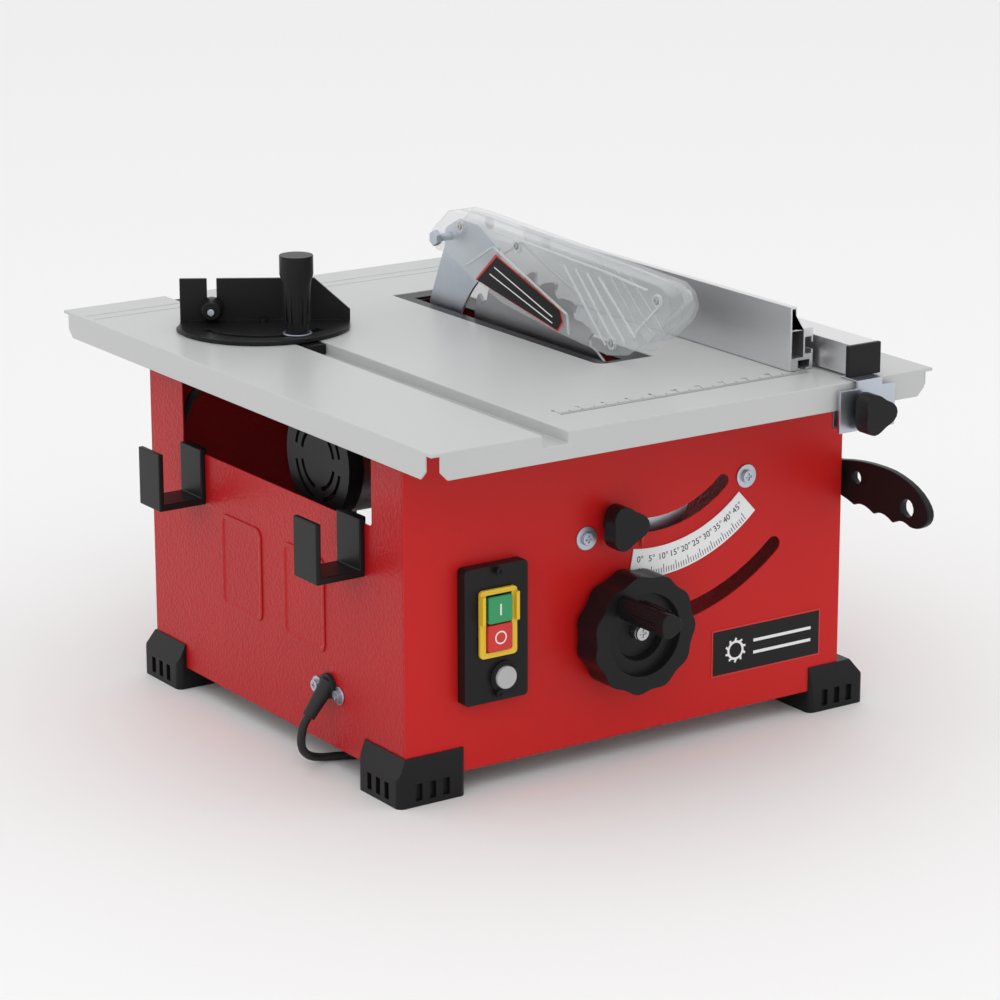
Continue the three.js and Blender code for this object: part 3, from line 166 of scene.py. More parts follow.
def cutBy(piece, tool):
    choose(piece)
    away = piece.modifiers.new("away", "BOOLEAN")
    away.operation = "DIFFERENCE"
    away.solver = "EXACT"
    away.object = tool
    bpy.ops.object.modifier_apply(modifier=away.name)
    bpy.data.objects.remove(tool)
    return piece


def brick(x, y, z):  # a box from its three pairs of limits, in metres
    nothingSelected()
    middle = [(a + b) / 2 for a, b in (x, y, z)]
    bpy.ops.mesh.primitive_cube_add(size=1, location=middle)
    piece = bpy.context.active_object
    piece.name = "brick"
    piece.scale = [abs(b - a) for a, b in (x, y, z)]
    settle(piece)
    return piece


def disc(place, axis, radius, depth, sides=32):
    nothingSelected()
    turn = {"x": (0, math.pi / 2, 0), "y": (math.pi / 2, 0, 0), "z": (0, 0, 0)}[axis]
    bpy.ops.mesh.primitive_cylinder_add(vertices=sides, radius=radius / 1000, depth=depth / 1000,
                                        location=place, rotation=turn)
    piece = bpy.context.active_object
    settle(piece)
    return piece


def turnedBlock(size, turn, place):  # a box of this size in metres, turned about its middle and then placed
    nothingSelected()
    bpy.ops.mesh.primitive_cube_add(size=1)
    piece = bpy.context.active_object
    piece.scale = size
    piece.rotation_euler = turn
    piece.location = place
    settle(piece)
    return piece


def hoop(place, radius, thick, around, across):  # a ring that faces the front, in metres
    nothingSelected()
    bpy.ops.mesh.primitive_torus_add(major_radius=radius, minor_radius=thick, major_segments=around,
                                     minor_segments=across, location=place, rotation=(math.pi / 2, 0, 0))
    return bpy.context.active_object


def merged(node, name):  # a CAD node's own shape, its loose triangles joined up
    nothingSelected()
    source = frame["nodes"][node]
    piece = bpy.data.objects.new(name, source.data.copy())
    bpy.context.scene.collection.objects.link(piece)
    choose(piece)
    bpy.ops.object.mode_set(mode="EDIT")
    bpy.ops.mesh.select_all(action="SELECT")
    bpy.ops.mesh.remove_doubles(threshold=0.00002)
    bpy.ops.mesh.dissolve_limited(angle_limit=math.radians(1.2))
    bpy.ops.object.mode_set(mode="OBJECT")
    for layer in list(piece.data.attributes):
        if layer.name == "custom_normal":
            piece.data.attributes.remove(layer)
    return piece


# Recipes for finishes
class Wire:
    def __init__(self, recipe, socket):
        self.recipe = recipe
        self.socket = socket

    def worked(self, operation, first, second):
        return self.recipe.node("ShaderNodeMath", {"operation": operation}, {0: first, 1: second})

    def __add__(self, other):
        return self.worked("ADD", self, other)

    __radd__ = __add__

    def __mul__(self, other):
        return self.worked("MULTIPLY", self, other)


class Recipe:
    def __init__(self, name):
        self.material = bpy.data.materials.new(name)
        self.material.use_nodes = True
        self.tree = self.material.node_tree
        self.shader = self.tree.nodes["Principled BSDF"]

    def node(self, kind, settings, inputs, out=0):
        made = self.tree.nodes.new(kind)
        for key, value in settings.items():
            setattr(made, key, value)
        for key, value in inputs.items():
            if isinstance(value, Wire):
                self.tree.links.new(value.socket, made.inputs[key])
            else:
                made.inputs[key].default_value = value
        return Wire(self, made.outputs[out])

    def place(self, stretch=(1, 1, 1)):
        here = self.node("ShaderNodeTexCoord", {}, {}, "Object")
        return self.node("ShaderNodeMapping", {}, {"Vector": here, "Scale": stretch})

    def noise(self, scale, detail=3, stretch=(1, 1, 1)):
        inputs = {"Vector": self.place(stretch), "Scale": scale, "Detail": detail}
        return self.node("ShaderNodeTexNoise", {}, inputs)

    def give(self, name, value):
        if isinstance(value, Wire):
            self.tree.links.new(value.socket, self.shader.inputs[name])
        else:
            self.shader.inputs[name].default_value = value

    def bump(self, height, strength, distance):
        inputs = {"Strength": strength, "Distance": distance, "Height": height}
        self.give("Normal", self.node("ShaderNodeBump", {}, inputs))


def blended(recipe, first, second, amount):  # two colours, mixed by a wire
    mix = {"data_type": "RGBA"}
    return recipe.node("ShaderNodeMix", mix, {0: amount, 6: (*first, 1), 7: (*second, 1)}, 2)


def paint(name, light, dark, rough, grainScale, grainDepth, coat=0.0, metal=0.0, shine=0.35):
    r = Recipe(name)
    cloud = r.noise(9, 4)
    grain = r.noise(grainScale, 2)
    r.give("Base Color", blended(r, dark, light, cloud * 0.55 + grain * 0.45))
    r.give("Roughness", rough - 0.06 + cloud * 0.12)
    r.give("Metallic", metal)
    r.give("Coat Weight", coat)
    r.give("Coat Roughness", 0.12)
    r.give("Specular IOR Level", shine)
    r.bump(grain, 0.5, grainDepth)
    return r.material


def metalOf(name, light, dark, rough, stretch, scale, depth):
    r = Recipe(name)
    lines = r.noise(scale, 4, stretch)
    cloud = r.noise(14, 3)
    r.give("Base Color", blended(r, dark, light, lines * 0.6 + cloud * 0.4))
    r.give("Roughness", rough - 0.1 + lines * 0.14 + cloud * 0.08)
    r.give("Metallic", 1.0)
    r.bump(lines, 0.35, depth)
    return r.material


def hammered():
    r = Recipe("hammeredRed")
    inputs = {"Vector": r.place(), "Scale": 420, "Smoothness": 0.6}
    cells = r.node("ShaderNodeTexVoronoi", {"feature": "SMOOTH_F1"}, inputs)
    cloud = r.noise(8, 3)
    r.give("Base Color", blended(r, (0.36, 0.006, 0.009), (0.46, 0.010, 0.011), cloud))
    r.give("Roughness", 0.3 + cells * 0.12)
    r.give("Specular IOR Level", 0.24)
    r.bump(cells, 0.45, 0.0007)
    return r.material


def clearPlastic(name, tint, alpha, rim):
    r = Recipe(name)
    facing = r.node("ShaderNodeLayerWeight", {}, {"Blend": 0.4}, "Facing")
    wear = r.noise(60, 3)
    r.give("Base Color", (*tint, 1))
    r.give("Roughness", 0.06 + wear * 0.1)
    r.give("Alpha", alpha + facing * rim)
    r.give("IOR", 1.58)
    return r.material


look = {
    "cabinet_paint": hammered(),
    "front_paint": paint("satinRed", (0.56, 0.012, 0.011), (0.48, 0.009, 0.008),
                         rough=0.38, grainScale=900, grainDepth=0.00012, shine=0.22),
    "table_paint": paint("paleGrey", (0.515, 0.522, 0.520), (0.465, 0.472, 0.470),
                         rough=0.36, grainScale=1100, grainDepth=0.00008, coat=0.08),
    "black_plastic": paint("blackMoulded", (0.011, 0.011, 0.012), (0.006, 0.006, 0.007),
                           rough=0.36, grainScale=1500, grainDepth=0.00015, shine=0.2),
    "yellow_plastic": paint("yellowMoulded", (0.78, 0.52, 0.035), (0.70, 0.46, 0.03),
                            rough=0.36, grainScale=900, grainDepth=0.00006),
    "green_plastic": paint("greenMoulded", (0.035, 0.32, 0.13), (0.03, 0.26, 0.10),
                           rough=0.32, grainScale=900, grainDepth=0.00005),
    "red_plastic": paint("redMoulded", (0.62, 0.035, 0.028), (0.54, 0.03, 0.024),
                         rough=0.32, grainScale=900, grainDepth=0.00005),
    "clear_plastic": clearPlastic("clearSheet", (0.60, 0.63, 0.64), alpha=0.05, rim=0.42),
    "clear_cap": clearPlastic("clearCap", (0.55, 0.56, 0.56), alpha=0.7, rim=0.3),
    "clear_edge": clearPlastic("clearRibs", (0.72, 0.74, 0.74), alpha=0.3, rim=0.5),
    "scale_plate": paint("printedPlate", (0.84, 0.85, 0.86), (0.79, 0.80, 0.81),
                         rough=0.35, grainScale=700, grainDepth=0.00003),
    "zinc_steel": metalOf("zincSteel", (0.60, 0.64, 0.70), (0.44, 0.48, 0.55),
                          rough=0.34, stretch=(1, 1, 1), scale=90, depth=0.0001),
    "bare_steel": metalOf("groundSteel", (0.62, 0.62, 0.63), (0.42, 0.42, 0.43),
                          rough=0.32, stretch=(1, 1, 14), scale=160, depth=0.00008),
    "blade_steel": metalOf("sawPlate", (0.40, 0.40, 0.42), (0.30, 0.30, 0.32),
                           rough=0.3, stretch=(1, 6, 6), scale=120, depth=0.00001),
    "aluminium": metalOf("drawnAluminium", (0.80, 0.80, 0.81), (0.66, 0.66, 0.67),
                         rough=0.36, stretch=(16, 0.4, 16), scale=140, depth=0.00006),
    "cast_metal": metalOf("castMetal", (0.46, 0.46, 0.47), (0.30, 0.30, 0.31),
                          rough=0.55, stretch=(1, 1, 1), scale=420, depth=0.0003),
    "motor_shell": metalOf("rolledShell", (0.66, 0.66, 0.67), (0.50, 0.50, 0.51),
                           rough=0.33, stretch=(1, 9, 9), scale=110, depth=0.00007),
    "winding": paint("lacqueredCopper", (0.46, 0.17, 0.06), (0.24, 0.10, 0.05),
                     rough=0.4, grainScale=700, grainDepth=0.0003, coat=0.2, metal=0.5),
    "rubber": paint("cableRubber", (0.018, 0.018, 0.019), (0.010, 0.010, 0.011),
                    rough=0.55, grainScale=1200, grainDepth=0.00012),
    "print": paint("printedInk", (0.02, 0.02, 0.022), (0.022, 0.022, 0.024),
                   rough=0.5, grainScale=900, grainDepth=0.00001),
    "grey_print": paint("greyInk", (0.12, 0.125, 0.13), (0.09, 0.095, 0.10),
                        rough=0.5, grainScale=900, grainDepth=0.00001),
    "white_print": paint("whiteInk", (0.82, 0.82, 0.82), (0.76, 0.76, 0.76),
                         rough=0.42, grainScale=900, grainDepth=0.00001),
}
print("finishes ready")

# Mains cord
mainsCord = {
    "radius": 3, "sleeveStart": (-188.5, -86.5, 60), "slope": 52, "sleeveLength": 25, "gap": 0.3,
    "laid": [(-209.3, -85.5, 26.5), (-207, -82, 16.5), (-199, -77, 8), (-187, -74, 3.5), (-172, -78, 3.2),
             (-155, -88, 3.2), (-136, -98, 3.2), (-113, -84, 3.2), (-95, -60, 3.2), (-82, -26, 3.2),
             (-73, 14, 3.2), (-66, 56, 3.2), (-60, 98, 3.2), (-55, 140, 3.2), (-50, 180, 3.2)],
    "straight": (3, 6), "coilMiddle": (0, 232.2), "rings": (45, 39, 33, 27), "layers": (3.2, 9.2),
    "perTurn": 20, "crossing": 0.2, "length": 2.0,
}


def cordRoute(s):
    slope = math.radians(s["slope"])
    axis = Vector((-math.cos(slope), 0, -math.sin(slope)))
    start = Vector(s["sleeveStart"]) + axis * s["sleeveLength"]
    points = [start + axis * step for step in (s["gap"], *s["straight"])] + [Vector(p) for p in s["laid"]]
    mx, my = s["coilMiddle"]
    lanes = [(r, s["layers"][0]) for r in s["rings"]] + [(r, s["layers"][1]) for r in reversed(s["rings"])]
    angle = math.pi
    steps = s["perTurn"]
    for lane, (radius, height) in enumerate(lanes[:-1]):
        nextRadius, nextHeight = lanes[lane + 1]
        for k in range(steps):
            share = max(0, (k - steps * (1 - s["crossing"])) / (steps * s["crossing"]))
            r = radius + (nextRadius - radius) * share
            z = height + (nextHeight - height) * share
            points.append(Vector((mx + r * math.cos(angle), my + r * math.sin(angle), z)))
            angle -= 2 * math.pi / steps
    return points


def makeCord(s):
    points = cordRoute(s)
    data = bpy.data.curves.new("mains_lead", "CURVE")
    data.dimensions = "3D"
    line = data.splines.new("NURBS")
    line.points.add(len(points) - 1)
    line.order_u = 3
    line.use_endpoint_u = True
    for at, p in zip(line.points, points):
        at.co = (*floorSpot(*p), 1)
    data.bevel_depth = s["radius"] / 1000
    data.bevel_resolution = 4
    data.use_fill_caps = True
    line.resolution_u = 4
    cord = bpy.data.objects.new("mains_lead", data)
    bpy.context.scene.collection.objects.link(cord)
    data.materials.append(look["rubber"])
    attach(cord, "frame")
    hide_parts("mains_cord", "cord_coil")
    return cord, floorSpot(*points[0])


lead, leadExit = makeCord(mainsCord)
print("cord laid")

# CAD shapes carried over with softened edges
softened = {  # node: (edge width in mm, steps)
    "table_top": (0.9, 3), "cabinet_front": (0.6, 2), "cabinet_wrap": (0.7, 2), "throat_plate": (0.4, 2),
    "storage_hook_front": (0.9, 3), "storage_hook_rear": (0.9, 3), "switch_housing": (1.0, 3),
    "switch_bezel": (0.6, 2), "start_button": (0.8, 3), "stop_button": (0.8, 3), "reset_button": (0.6, 2),
    "angle_scale": (0.2, 1), "trunnion_bracket_front": (0.4, 1), "trunnion_bracket_rear": (0.4, 1),
    "push_stick_holder": (0.6, 2), "push_stick": (1.3, 3), "lock_knob": (0.9, 3), "handwheel": (1.2, 3),
    "crank_handle": (0.7, 3), "fence_tube": (0.5, 2), "fence_profile": (0.35, 2), "fence_clamp": (0.5, 2),
    "fence_knob": (0.9, 3), "miter_bar": (0.4, 2), "miter_head": (0.4, 2), "miter_thumb_nut": (0.4, 2),
    "miter_handle": (0.7, 3), "riving_knife": (0.3, 2), "knife_clamp": (0.5, 2), "guard_bolt": (0.4, 2),
    "motor_housing": (0.8, 2), "motor_end_cap": (0.5, 2), "gearbox_housing": (0.8, 2), "carriage": (0.5, 2),
    "lower_blade_cover": (0.5, 2), "cradle": (0.4, 1), "tilt_pointer": (0.25, 1), "blade_flange": (0.4, 2),
    "arbor_nut": (0.5, 2), "plug": (1.6, 3), "cord_sleeve": (0.5, 2), "guard_left_shell": (0.45, 1),
    "guard_right_shell": (0.45, 1), "saw_blade": (0.12, 1), "wheel_shaft": (0.4, 2),
}
slotOf = {p["node"]: p["material_slot"] for p in frame["record"]["subparts"]}
bodyOf = {n: o["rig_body"] for n, o in frame["nodes"].items()}

footSlots = {"width": 5.2, "depth": 3.0, "low": 4, "high": 16, "spacing": 11}


def footWithSlots(node, s):
    piece = merged(node, node + "_moulded")
    low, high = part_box(node)
    tools = []
    faceX = low.x if node.endswith("left") else high.x
    faceY = low.y if "front" in node else high.y
    half, deep = s["width"] / 2000, s["depth"] / 1000
    rise = (s["low"] / 1000, s["high"] / 1000)
    for k in (-1, 0, 1):
        y = (low.y + high.y) / 2 + k * s["spacing"] / 1000
        x = (low.x + high.x) / 2 + k * s["spacing"] / 1000
        tools.append(brick((faceX - deep, faceX + deep), (y - half, y + half), rise))
        tools.append(brick((x - half, x + half), (faceY - deep, faceY + deep), rise))
    cutBy(piece, joined("footTool", tools))
    softEdges(piece, 0.8, 2)
    finish(piece, "frame", look["black_plastic"], [node])


for node in frame["nodes"]:
    frame["nodes"][node].data.materials.clear()
    frame["nodes"][node].data.materials.append(look[slotOf[node]])
for node, (width, steps) in softened.items():
    piece = merged(node, node + "_finished")
    softEdges(piece, width, steps)
    finish(piece, bodyOf[node], look[slotOf[node]], [node])
bpy.data.objects["reset_button_finished"].data.materials[0] = look["clear_cap"]
for corner in ("front_left", "front_right", "rear_left", "rear_right"):
    footWithSlots("foot_" + corner, footSlots)
print("carried-over pieces done")


# Screws, in millimetres; the cross in a head is a share of the head's radius or height
screwShape = {"sides": 24, "washerSides": 32, "washerThick": 1.2, "crossLong": 1.15, "crossWide": 0.28,
              "crossDeep": 0.55}


def panScrew(place, axis, radius, height, washer=0):
    nothingSelected()
    s = screwShape
    out = {"-y": (0, -1, 0), "-x": (-1, 0, 0), "+x": (1, 0, 0), "z": (0, 0, 1)}[axis]
    turn = Vector((0, 0, 1)).rotation_difference(Vector(out)).to_euler()
    made = []
    if washer:
        bpy.ops.mesh.primitive_cylinder_add(vertices=s["washerSides"], radius=washer / 1000,
                                            depth=s["washerThick"] / 1000)
        made.append(bpy.context.active_object)
        made[0].location.z = s["washerThick"] / 2000
    bpy.ops.mesh.primitive_cylinder_add(vertices=s["sides"], radius=radius / 1000, depth=height / 1000)
    head = bpy.context.active_object
    head.location.z = (height / 2 + (s["washerThick"] if washer else 0)) / 1000
    settle(head)
    long, thin = radius * s["crossLong"] / 2000, radius * s["crossWide"] / 2000
    for x, y in ((thin, long), (long, thin)):
        topZ = max(v.co.z for v in head.data.vertices)
        cutBy(head, brick((-x, x), (-y, y), (topZ - height * s["crossDeep"] / 1000, topZ + 0.001)))
    made.append(head)
    for piece in made:
        settle(piece)
        softEdges(piece, min(height * 0.3, 0.5), 2)
    whole = joined("screw", made)
    whole.rotation_euler = turn
    whole.location = place
    settle(whole)
    return whole


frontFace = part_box("cabinet_front")[0].y
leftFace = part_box("cabinet_wrap")[0].x
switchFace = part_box("switch_housing")[0].y


def onFront(x, rise, out=0.0):
    at = spot(x, 0, rise)
    at.y = frontFace - out / 1000
    return at


frontScrewSpots = ((-38.2, -100.2), (99.2, -77.2))
frontScrews = [panScrew(onFront(x, rise), "-y", 4.6, 2.6, 8.5) for x, rise in frontScrewSpots]
cordScrews = []
for y, rise in ((-70.5, -209), (-99.2, -209.2)):
    at = spot(0, y, rise)
    at.x = leftFace
    cordScrews.append(panScrew(at, "-x", 4.2, 2.6, 6.5))
finish(joined("panel_screws", frontScrews + cordScrews), "frame", look["zinc_steel"])
switchScrews = []
for rise in (-107, -193.7):
    at = spot(-118, 0, rise)
    at.y = switchFace
    switchScrews.append(panScrew(at, "-y", 3.0, 1.8))
finish(joined("switch_screws", switchScrews), "frame", look["black_plastic"])
print("screws done")


# Printed scales
def lettering(text, height, place, facing, turn=0.0):
    nothingSelected()
    bpy.ops.object.text_add(location=(0, 0, 0))
    piece = bpy.context.active_object
    piece.data.body = text
    piece.data.align_x = "CENTER"
    piece.data.align_y = "CENTER"
    piece.data.size = height / 1000
    piece.data.extrude = 0.00005
    bpy.ops.object.convert(target="MESH")
    piece = bpy.context.active_object
    if facing == "front":
        piece.rotation_euler = (math.pi / 2, -turn, 0)
    else:
        piece.rotation_euler = (0, 0, turn)
    piece.location = place
    settle(piece)
    return piece


tiltScale = {"x": 20.2, "rise": -9.5, "tickFrom": 126.5, "fine": 122.5, "coarse": 120.0, "label": 114.2,
             "zero": -6.6, "degrees": 45, "thick": 0.5, "letter": 6.4, "out": 0.06}
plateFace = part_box("angle_scale")[0].y


def arcSpot(s, radius, degrees, out):
    a = math.radians(degrees)
    at = spot(s["x"] + radius * math.sin(a), 0, s["rise"] - radius * math.cos(a))
    at.y = plateFace - out / 1000
    return at


def tiltMarks(s):
    made = []
    for degree in range(s["degrees"] + 1):
        inner = s["coarse"] if degree % 5 == 0 else s["fine"]
        a = s["zero"] + degree
        size = (s["thick"] / 1000, 0.0001, (s["tickFrom"] - inner) / 1000)
        turn = math.radians(a)
        made.append(turnedBlock(size, (0, -turn, 0), arcSpot(s, (s["tickFrom"] + inner) / 2, a, s["out"])))
        if degree % 5 == 0:
            place = arcSpot(s, s["label"], a, s["out"])
            made.append(lettering(f"{degree}°", s["letter"], place, "front", turn))
    return made


finish(joined("tilt_scale_marks", tiltMarks(tiltScale)), "frame", look["print"])

ruler = {"from": -80, "to": 128, "y": -214, "step": 2}
marks = []
for k in range(0, ruler["to"] - ruler["from"] + 1, ruler["step"]):
    long = 7 if k % 10 == 0 else 4
    x = ruler["from"] + k
    a, b = spot(x - 0.22, ruler["y"], 0.02), spot(x + 0.22, ruler["y"] + long, 0.1)
    marks.append(brick((a.x, b.x), (a.y, b.y), (a.z, b.z)))
    if k % 20 == 0:
        marks.append(lettering(str(k // 10), 5.0, spot(x, ruler["y"] + 10.5, 0.06), "up"))
a, b = spot(ruler["from"] - 2, ruler["y"] - 1, 0.02), spot(ruler["to"] + 2, ruler["y"] - 0.5, 0.1)
marks.append(brick((a.x, b.x), (a.y, b.y), (a.z, b.z)))
finish(joined("table_ruler", marks), "frame", look["grey_print"])
print("scales printed")

# Switch marks, badge, pads
startBar = {"halfWide": 0.0006, "halfThick": 0.0001, "halfTall": 0.004}
stopRing = {"radius": 0.0042, "thick": 0.0005, "flat": 0.3}
low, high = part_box("start_button")
centre = (low + high) / 2
bar = brick((centre.x - startBar["halfWide"], centre.x + startBar["halfWide"]),
            (low.y - startBar["halfThick"], low.y + startBar["halfThick"]),
            (centre.z - startBar["halfTall"], centre.z + startBar["halfTall"]))
finish(bar, "start", look["white_print"])
bar.name = "start_mark"
low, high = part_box("stop_button")
centre = (low + high) / 2
ringMark = hoop((centre.x, low.y, centre.z), stopRing["radius"], stopRing["thick"], 32, 6)
ringMark.scale = (1, 1, stopRing["flat"])
finish(ringMark, "stop", look["white_print"])
ringMark.name = "stop_mark"

badge = {"x": (71, 169), "rise": (-222, -187), "back": 0.5, "face": 0.3, "border": 1.2}


def frontPlate(name, x, rise, out, thick, recipe, width=0.25):
    a, b = onFront(x[0], rise[0], out), onFront(x[1], rise[1], out + thick)
    piece = brick((a.x, b.x), (a.y, b.y), (a.z, b.z))
    softEdges(piece, width, 2)
    finish(piece, "frame", recipe)
    piece.name = name
    return piece


frontPlate("badge_border", badge["x"], badge["rise"], 0.0, badge["back"], look["red_plastic"])
inX, inRise = ((ends[0] + badge["border"], ends[1] - badge["border"]) for ends in (badge["x"], badge["rise"]))
frontPlate("badge_plate", inX, inRise, badge["back"], badge["face"], look["black_plastic"])
badgeMark = {"x": 92, "rise": -204.5, "out": 0.86, "radius": 9.5, "ringThick": 0.9, "flat": 0.12, "teeth": 10,
             "toothAt": 0.82, "tooth": (0.8, 0.08, 1.4), "toothTurn": 0.5, "lines": (-200, -209),
             "lineHalf": 1.1, "lineOut": (0.78, 0.92), "from": 108, "to": 160}


def sawMark(s):  # a toothed ring and two plain lines
    centre = onFront(s["x"], s["rise"], s["out"])
    parts = [hoop(centre, s["radius"] / 1500, s["ringThick"] / 1000, 36, 6)]
    parts[0].scale = (1, 1, s["flat"])
    settle(parts[0])
    for k in range(s["teeth"]):
        a = 2 * math.pi * k / s["teeth"]
        r = s["radius"] * s["toothAt"] / 1000
        tooth = brick(*[(-half / 1000, half / 1000) for half in s["tooth"]])
        tooth.rotation_euler = (0, a + s["toothTurn"], 0)
        tooth.location = centre + Vector((r * math.sin(a), 0, r * math.cos(a)))
        settle(tooth)
        parts.append(tooth)
    for rise in s["lines"]:
        a = onFront(s["from"], rise - s["lineHalf"], s["lineOut"][0])
        b = onFront(s["to"], rise + s["lineHalf"], s["lineOut"][1])
        parts.append(brick((a.x, b.x), (a.y, b.y), (a.z, b.z)))
    mark = joined("badge_mark", parts)
    finish(mark, "frame", look["white_print"])


sawMark(badgeMark)

pads = {"y": ((3.7, 60), (-81.7, -26.7)), "rise": (-184, -115), "rim": 2.6, "proud": 1.1, "corner": 7}


def sidePad(name, y, rise, s):
    a, b = spot(0, y[0], rise[0]), spot(0, y[1], rise[1])
    piece = brick((leftFace - s["proud"] / 1000, leftFace + 0.0005), (a.y, b.y), (a.z, b.z))
    corners = piece.data.vertices
    pick(piece, "EDGE", lambda e: abs(corners[e.vertices[0]].co.x - corners[e.vertices[1]].co.x) > 0.0005)
    bpy.ops.mesh.bevel(offset=s["corner"] / 1000, segments=6)
    bpy.ops.object.mode_set(mode="OBJECT")
    pick(piece, "FACE", lambda f: f.normal.x < -0.9)
    bpy.ops.mesh.inset(thickness=s["rim"] / 1000, depth=0)
    bpy.ops.mesh.inset(thickness=0.0016, depth=-0.0009)
    bpy.ops.object.mode_set(mode="OBJECT")
    softEdges(piece, 0.5, 3, 12, 60)
    finish(piece, "frame", look["cabinet_paint"])
    piece.name = name


for k, y in enumerate(pads["y"]):
    sidePad(f"side_pad_{k + 1}", y, pads["rise"], pads)
print("front and side details done")

# Blade tips
blade = {"x": 37.2, "y": -11.5, "rise": -56.5, "radius": 102.5, "count": 24, "size": (2.6, 3.4, 7.5)}


def bladeTips(s):
    tips = []
    wide, deep, tall = (v / 1000 for v in s["size"])
    for k in range(s["count"]):
        a = 2 * math.pi * k / s["count"]
        r = (s["radius"] - s["size"][2] / 2) / 1000
        at = spot(s["x"], s["y"], s["rise"]) + Vector((0, r * math.cos(a), r * math.sin(a)))
        tips.append(turnedBlock((wide, deep, tall), (a - math.pi / 2, 0, 0), at))
    whole = joined("blade_tips", tips)
    softEdges(whole, 0.2, 1)
    finish(whole, "blade_set", look["blade_steel"])


bladeTips(blade)

# Guard: label, ribs, bosses
guardParts = {
    "wall": 25.0, "thick": 0.35,
    "label": ((45, 31.5), (19.5, 53), (-60, 28.5), (-63.5, 21), (-57.5, 13.6)),
    "lines": (((22, 45), (-52, 22)), ((28, 39), (-52, 17.5))),
    "ribs": (((-66, 62), (-117, 14)), ((-80, 62), (-128, 17)), ((-94, 61.5), (-140, 20)),
             ((-108, 61), (-152, 26))),
    "frameLines": (((24, 60), (-70, 27)), ((60, 40), (24, 60)), ((-70, 27), (-72, 13)),
                   ((-166, 62), (-120, 66)), ((-120, 66), (-52, 69)), ((-152, 30), (-180, 54)), ((-52, 69), (24, 72))),
    "bosses": ((-8, 66), (-178, 57), (-125, 17), (66, 68)), "bossRadius": 4.6, "bossDeep": 2.4,
    "borderThick": 0.12, "borderGrowth": 1.035, "ribWide": 1.5, "ribDeep": 1.4, "farRibs": 49.4,
    "farBosses": 49.8,
}


# A thin bar on the guard's side, from point to point in y and rise
def sideBar(x, start, end, wide, deep):
    a, b = (spot(x, p[0], p[1]) for p in (start, end))
    way = b - a
    bar = brick((-deep / 2000, deep / 2000), (-way.length / 2, way.length / 2), (-wide / 2000, wide / 2000))
    bar.rotation_euler = (math.atan2(way.z, way.y), 0, 0)
    bar.location = (a + b) / 2
    settle(bar)
    return bar


def flatPlate(name, x, outline, thick):  # a thin plate on the guard's side, drawn in y and rise
    nothingSelected()
    bpy.ops.mesh.primitive_circle_add(vertices=len(outline), radius=0.01, fill_type="NGON")
    piece = bpy.context.active_object
    for corner, (y, rise) in zip(piece.data.vertices, outline):
        corner.co = spot(x, y, rise)
    pick(piece, "FACE", lambda f: True)
    bpy.ops.mesh.extrude_region_move(TRANSFORM_OT_translate={"value": (-thick / 1000, 0, 0)})
    bpy.ops.mesh.select_all(action="SELECT")
    bpy.ops.mesh.normals_make_consistent(inside=False)
    bpy.ops.object.mode_set(mode="OBJECT")
    piece.name = name
    return piece


def grown(outline, share):
    my = sum(p[0] for p in outline) / len(outline)
    mz = sum(p[1] for p in outline) / len(outline)
    return [(my + (y - my) * share, mz + (z - mz) * (share + 0.04)) for y, z in outline]


def makeGuardParts(s):
    x = s["wall"]
    border = flatPlate("guard_label_border", x, grown(s["label"], s["borderGrowth"]), s["borderThick"])
    finish(border, "guard", look["red_plastic"])
    label = flatPlate("guard_label", x - s["borderThick"], s["label"], s["thick"])
    finish(label, "guard", look["black_plastic"])
    lines = [sideBar(x - 0.55, a, b, 0.8, 0.2) for a, b in s["lines"]]
    finish(joined("guard_label_lines", lines), "guard", look["white_print"])
    bars = []
    for face in (x - 0.2, s["farRibs"]):
        bars += [sideBar(face, a, b, s["ribWide"], s["ribDeep"]) for a, b in s["ribs"] + s["frameLines"]]
    for bar in bars:
        softEdges(bar, 0.3, 2)
    finish(joined("guard_ribs", bars), "guard", look["clear_edge"])
    posts = []
    for y, rise in s["bosses"]:
        for face, way in ((x - 0.6, -1), (s["farBosses"], 1)):
            post = disc(spot(face, y, rise), "x", s["bossRadius"], s["bossDeep"], 24)
            pick(post, "FACE", lambda f: f.normal.x * way > 0.9)
            bpy.ops.mesh.inset(thickness=0.0014, depth=0)
            bpy.ops.mesh.inset(thickness=0.0004, depth=-0.0012)
            bpy.ops.object.mode_set(mode="OBJECT")
            softEdges(post, 0.25, 2)
            posts.append(post)
    finish(joined("guard_bosses", posts), "guard", look["clear_edge"])
    bolts = [panScrew(spot(x - 1.4, y, rise), "-x", 2.4, 1.4) for y, rise in s["bosses"]]
    finish(joined("guard_screws", bolts), "guard", look["bare_steel"])


makeGuardParts(guardParts)

# Grips: flutes and hub screw
def flutes(name, centre, axis, radius, span, count, body, wide=1.3, proud=0.5, sunk=0.5):
    bars = []
    a, b = span
    for k in range(count):
        angle = 2 * math.pi * k / count
        side = (radius + proud / 2 - sunk / 2) / 1000
        deep = (proud + sunk) / 2000
        size = [(-wide / 2000, wide / 2000), (-deep, deep), (a / 1000, b / 1000)]
        bar = brick(*size)
        softEdges(bar, 0.3, 2)
        bar.location = (0, side, 0)
        settle(bar)
        bar.rotation_euler = (0, 0, angle)
        settle(bar)
        bars.append(bar)
    whole = joined(name, bars)
    if axis == "-y":
        whole.rotation_euler = (math.pi / 2, 0, 0)
    whole.location = centre
    settle(whole)
    finish(whole, body, look["black_plastic"])


def middle(node):
    low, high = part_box(node)
    return (low + high) / 2


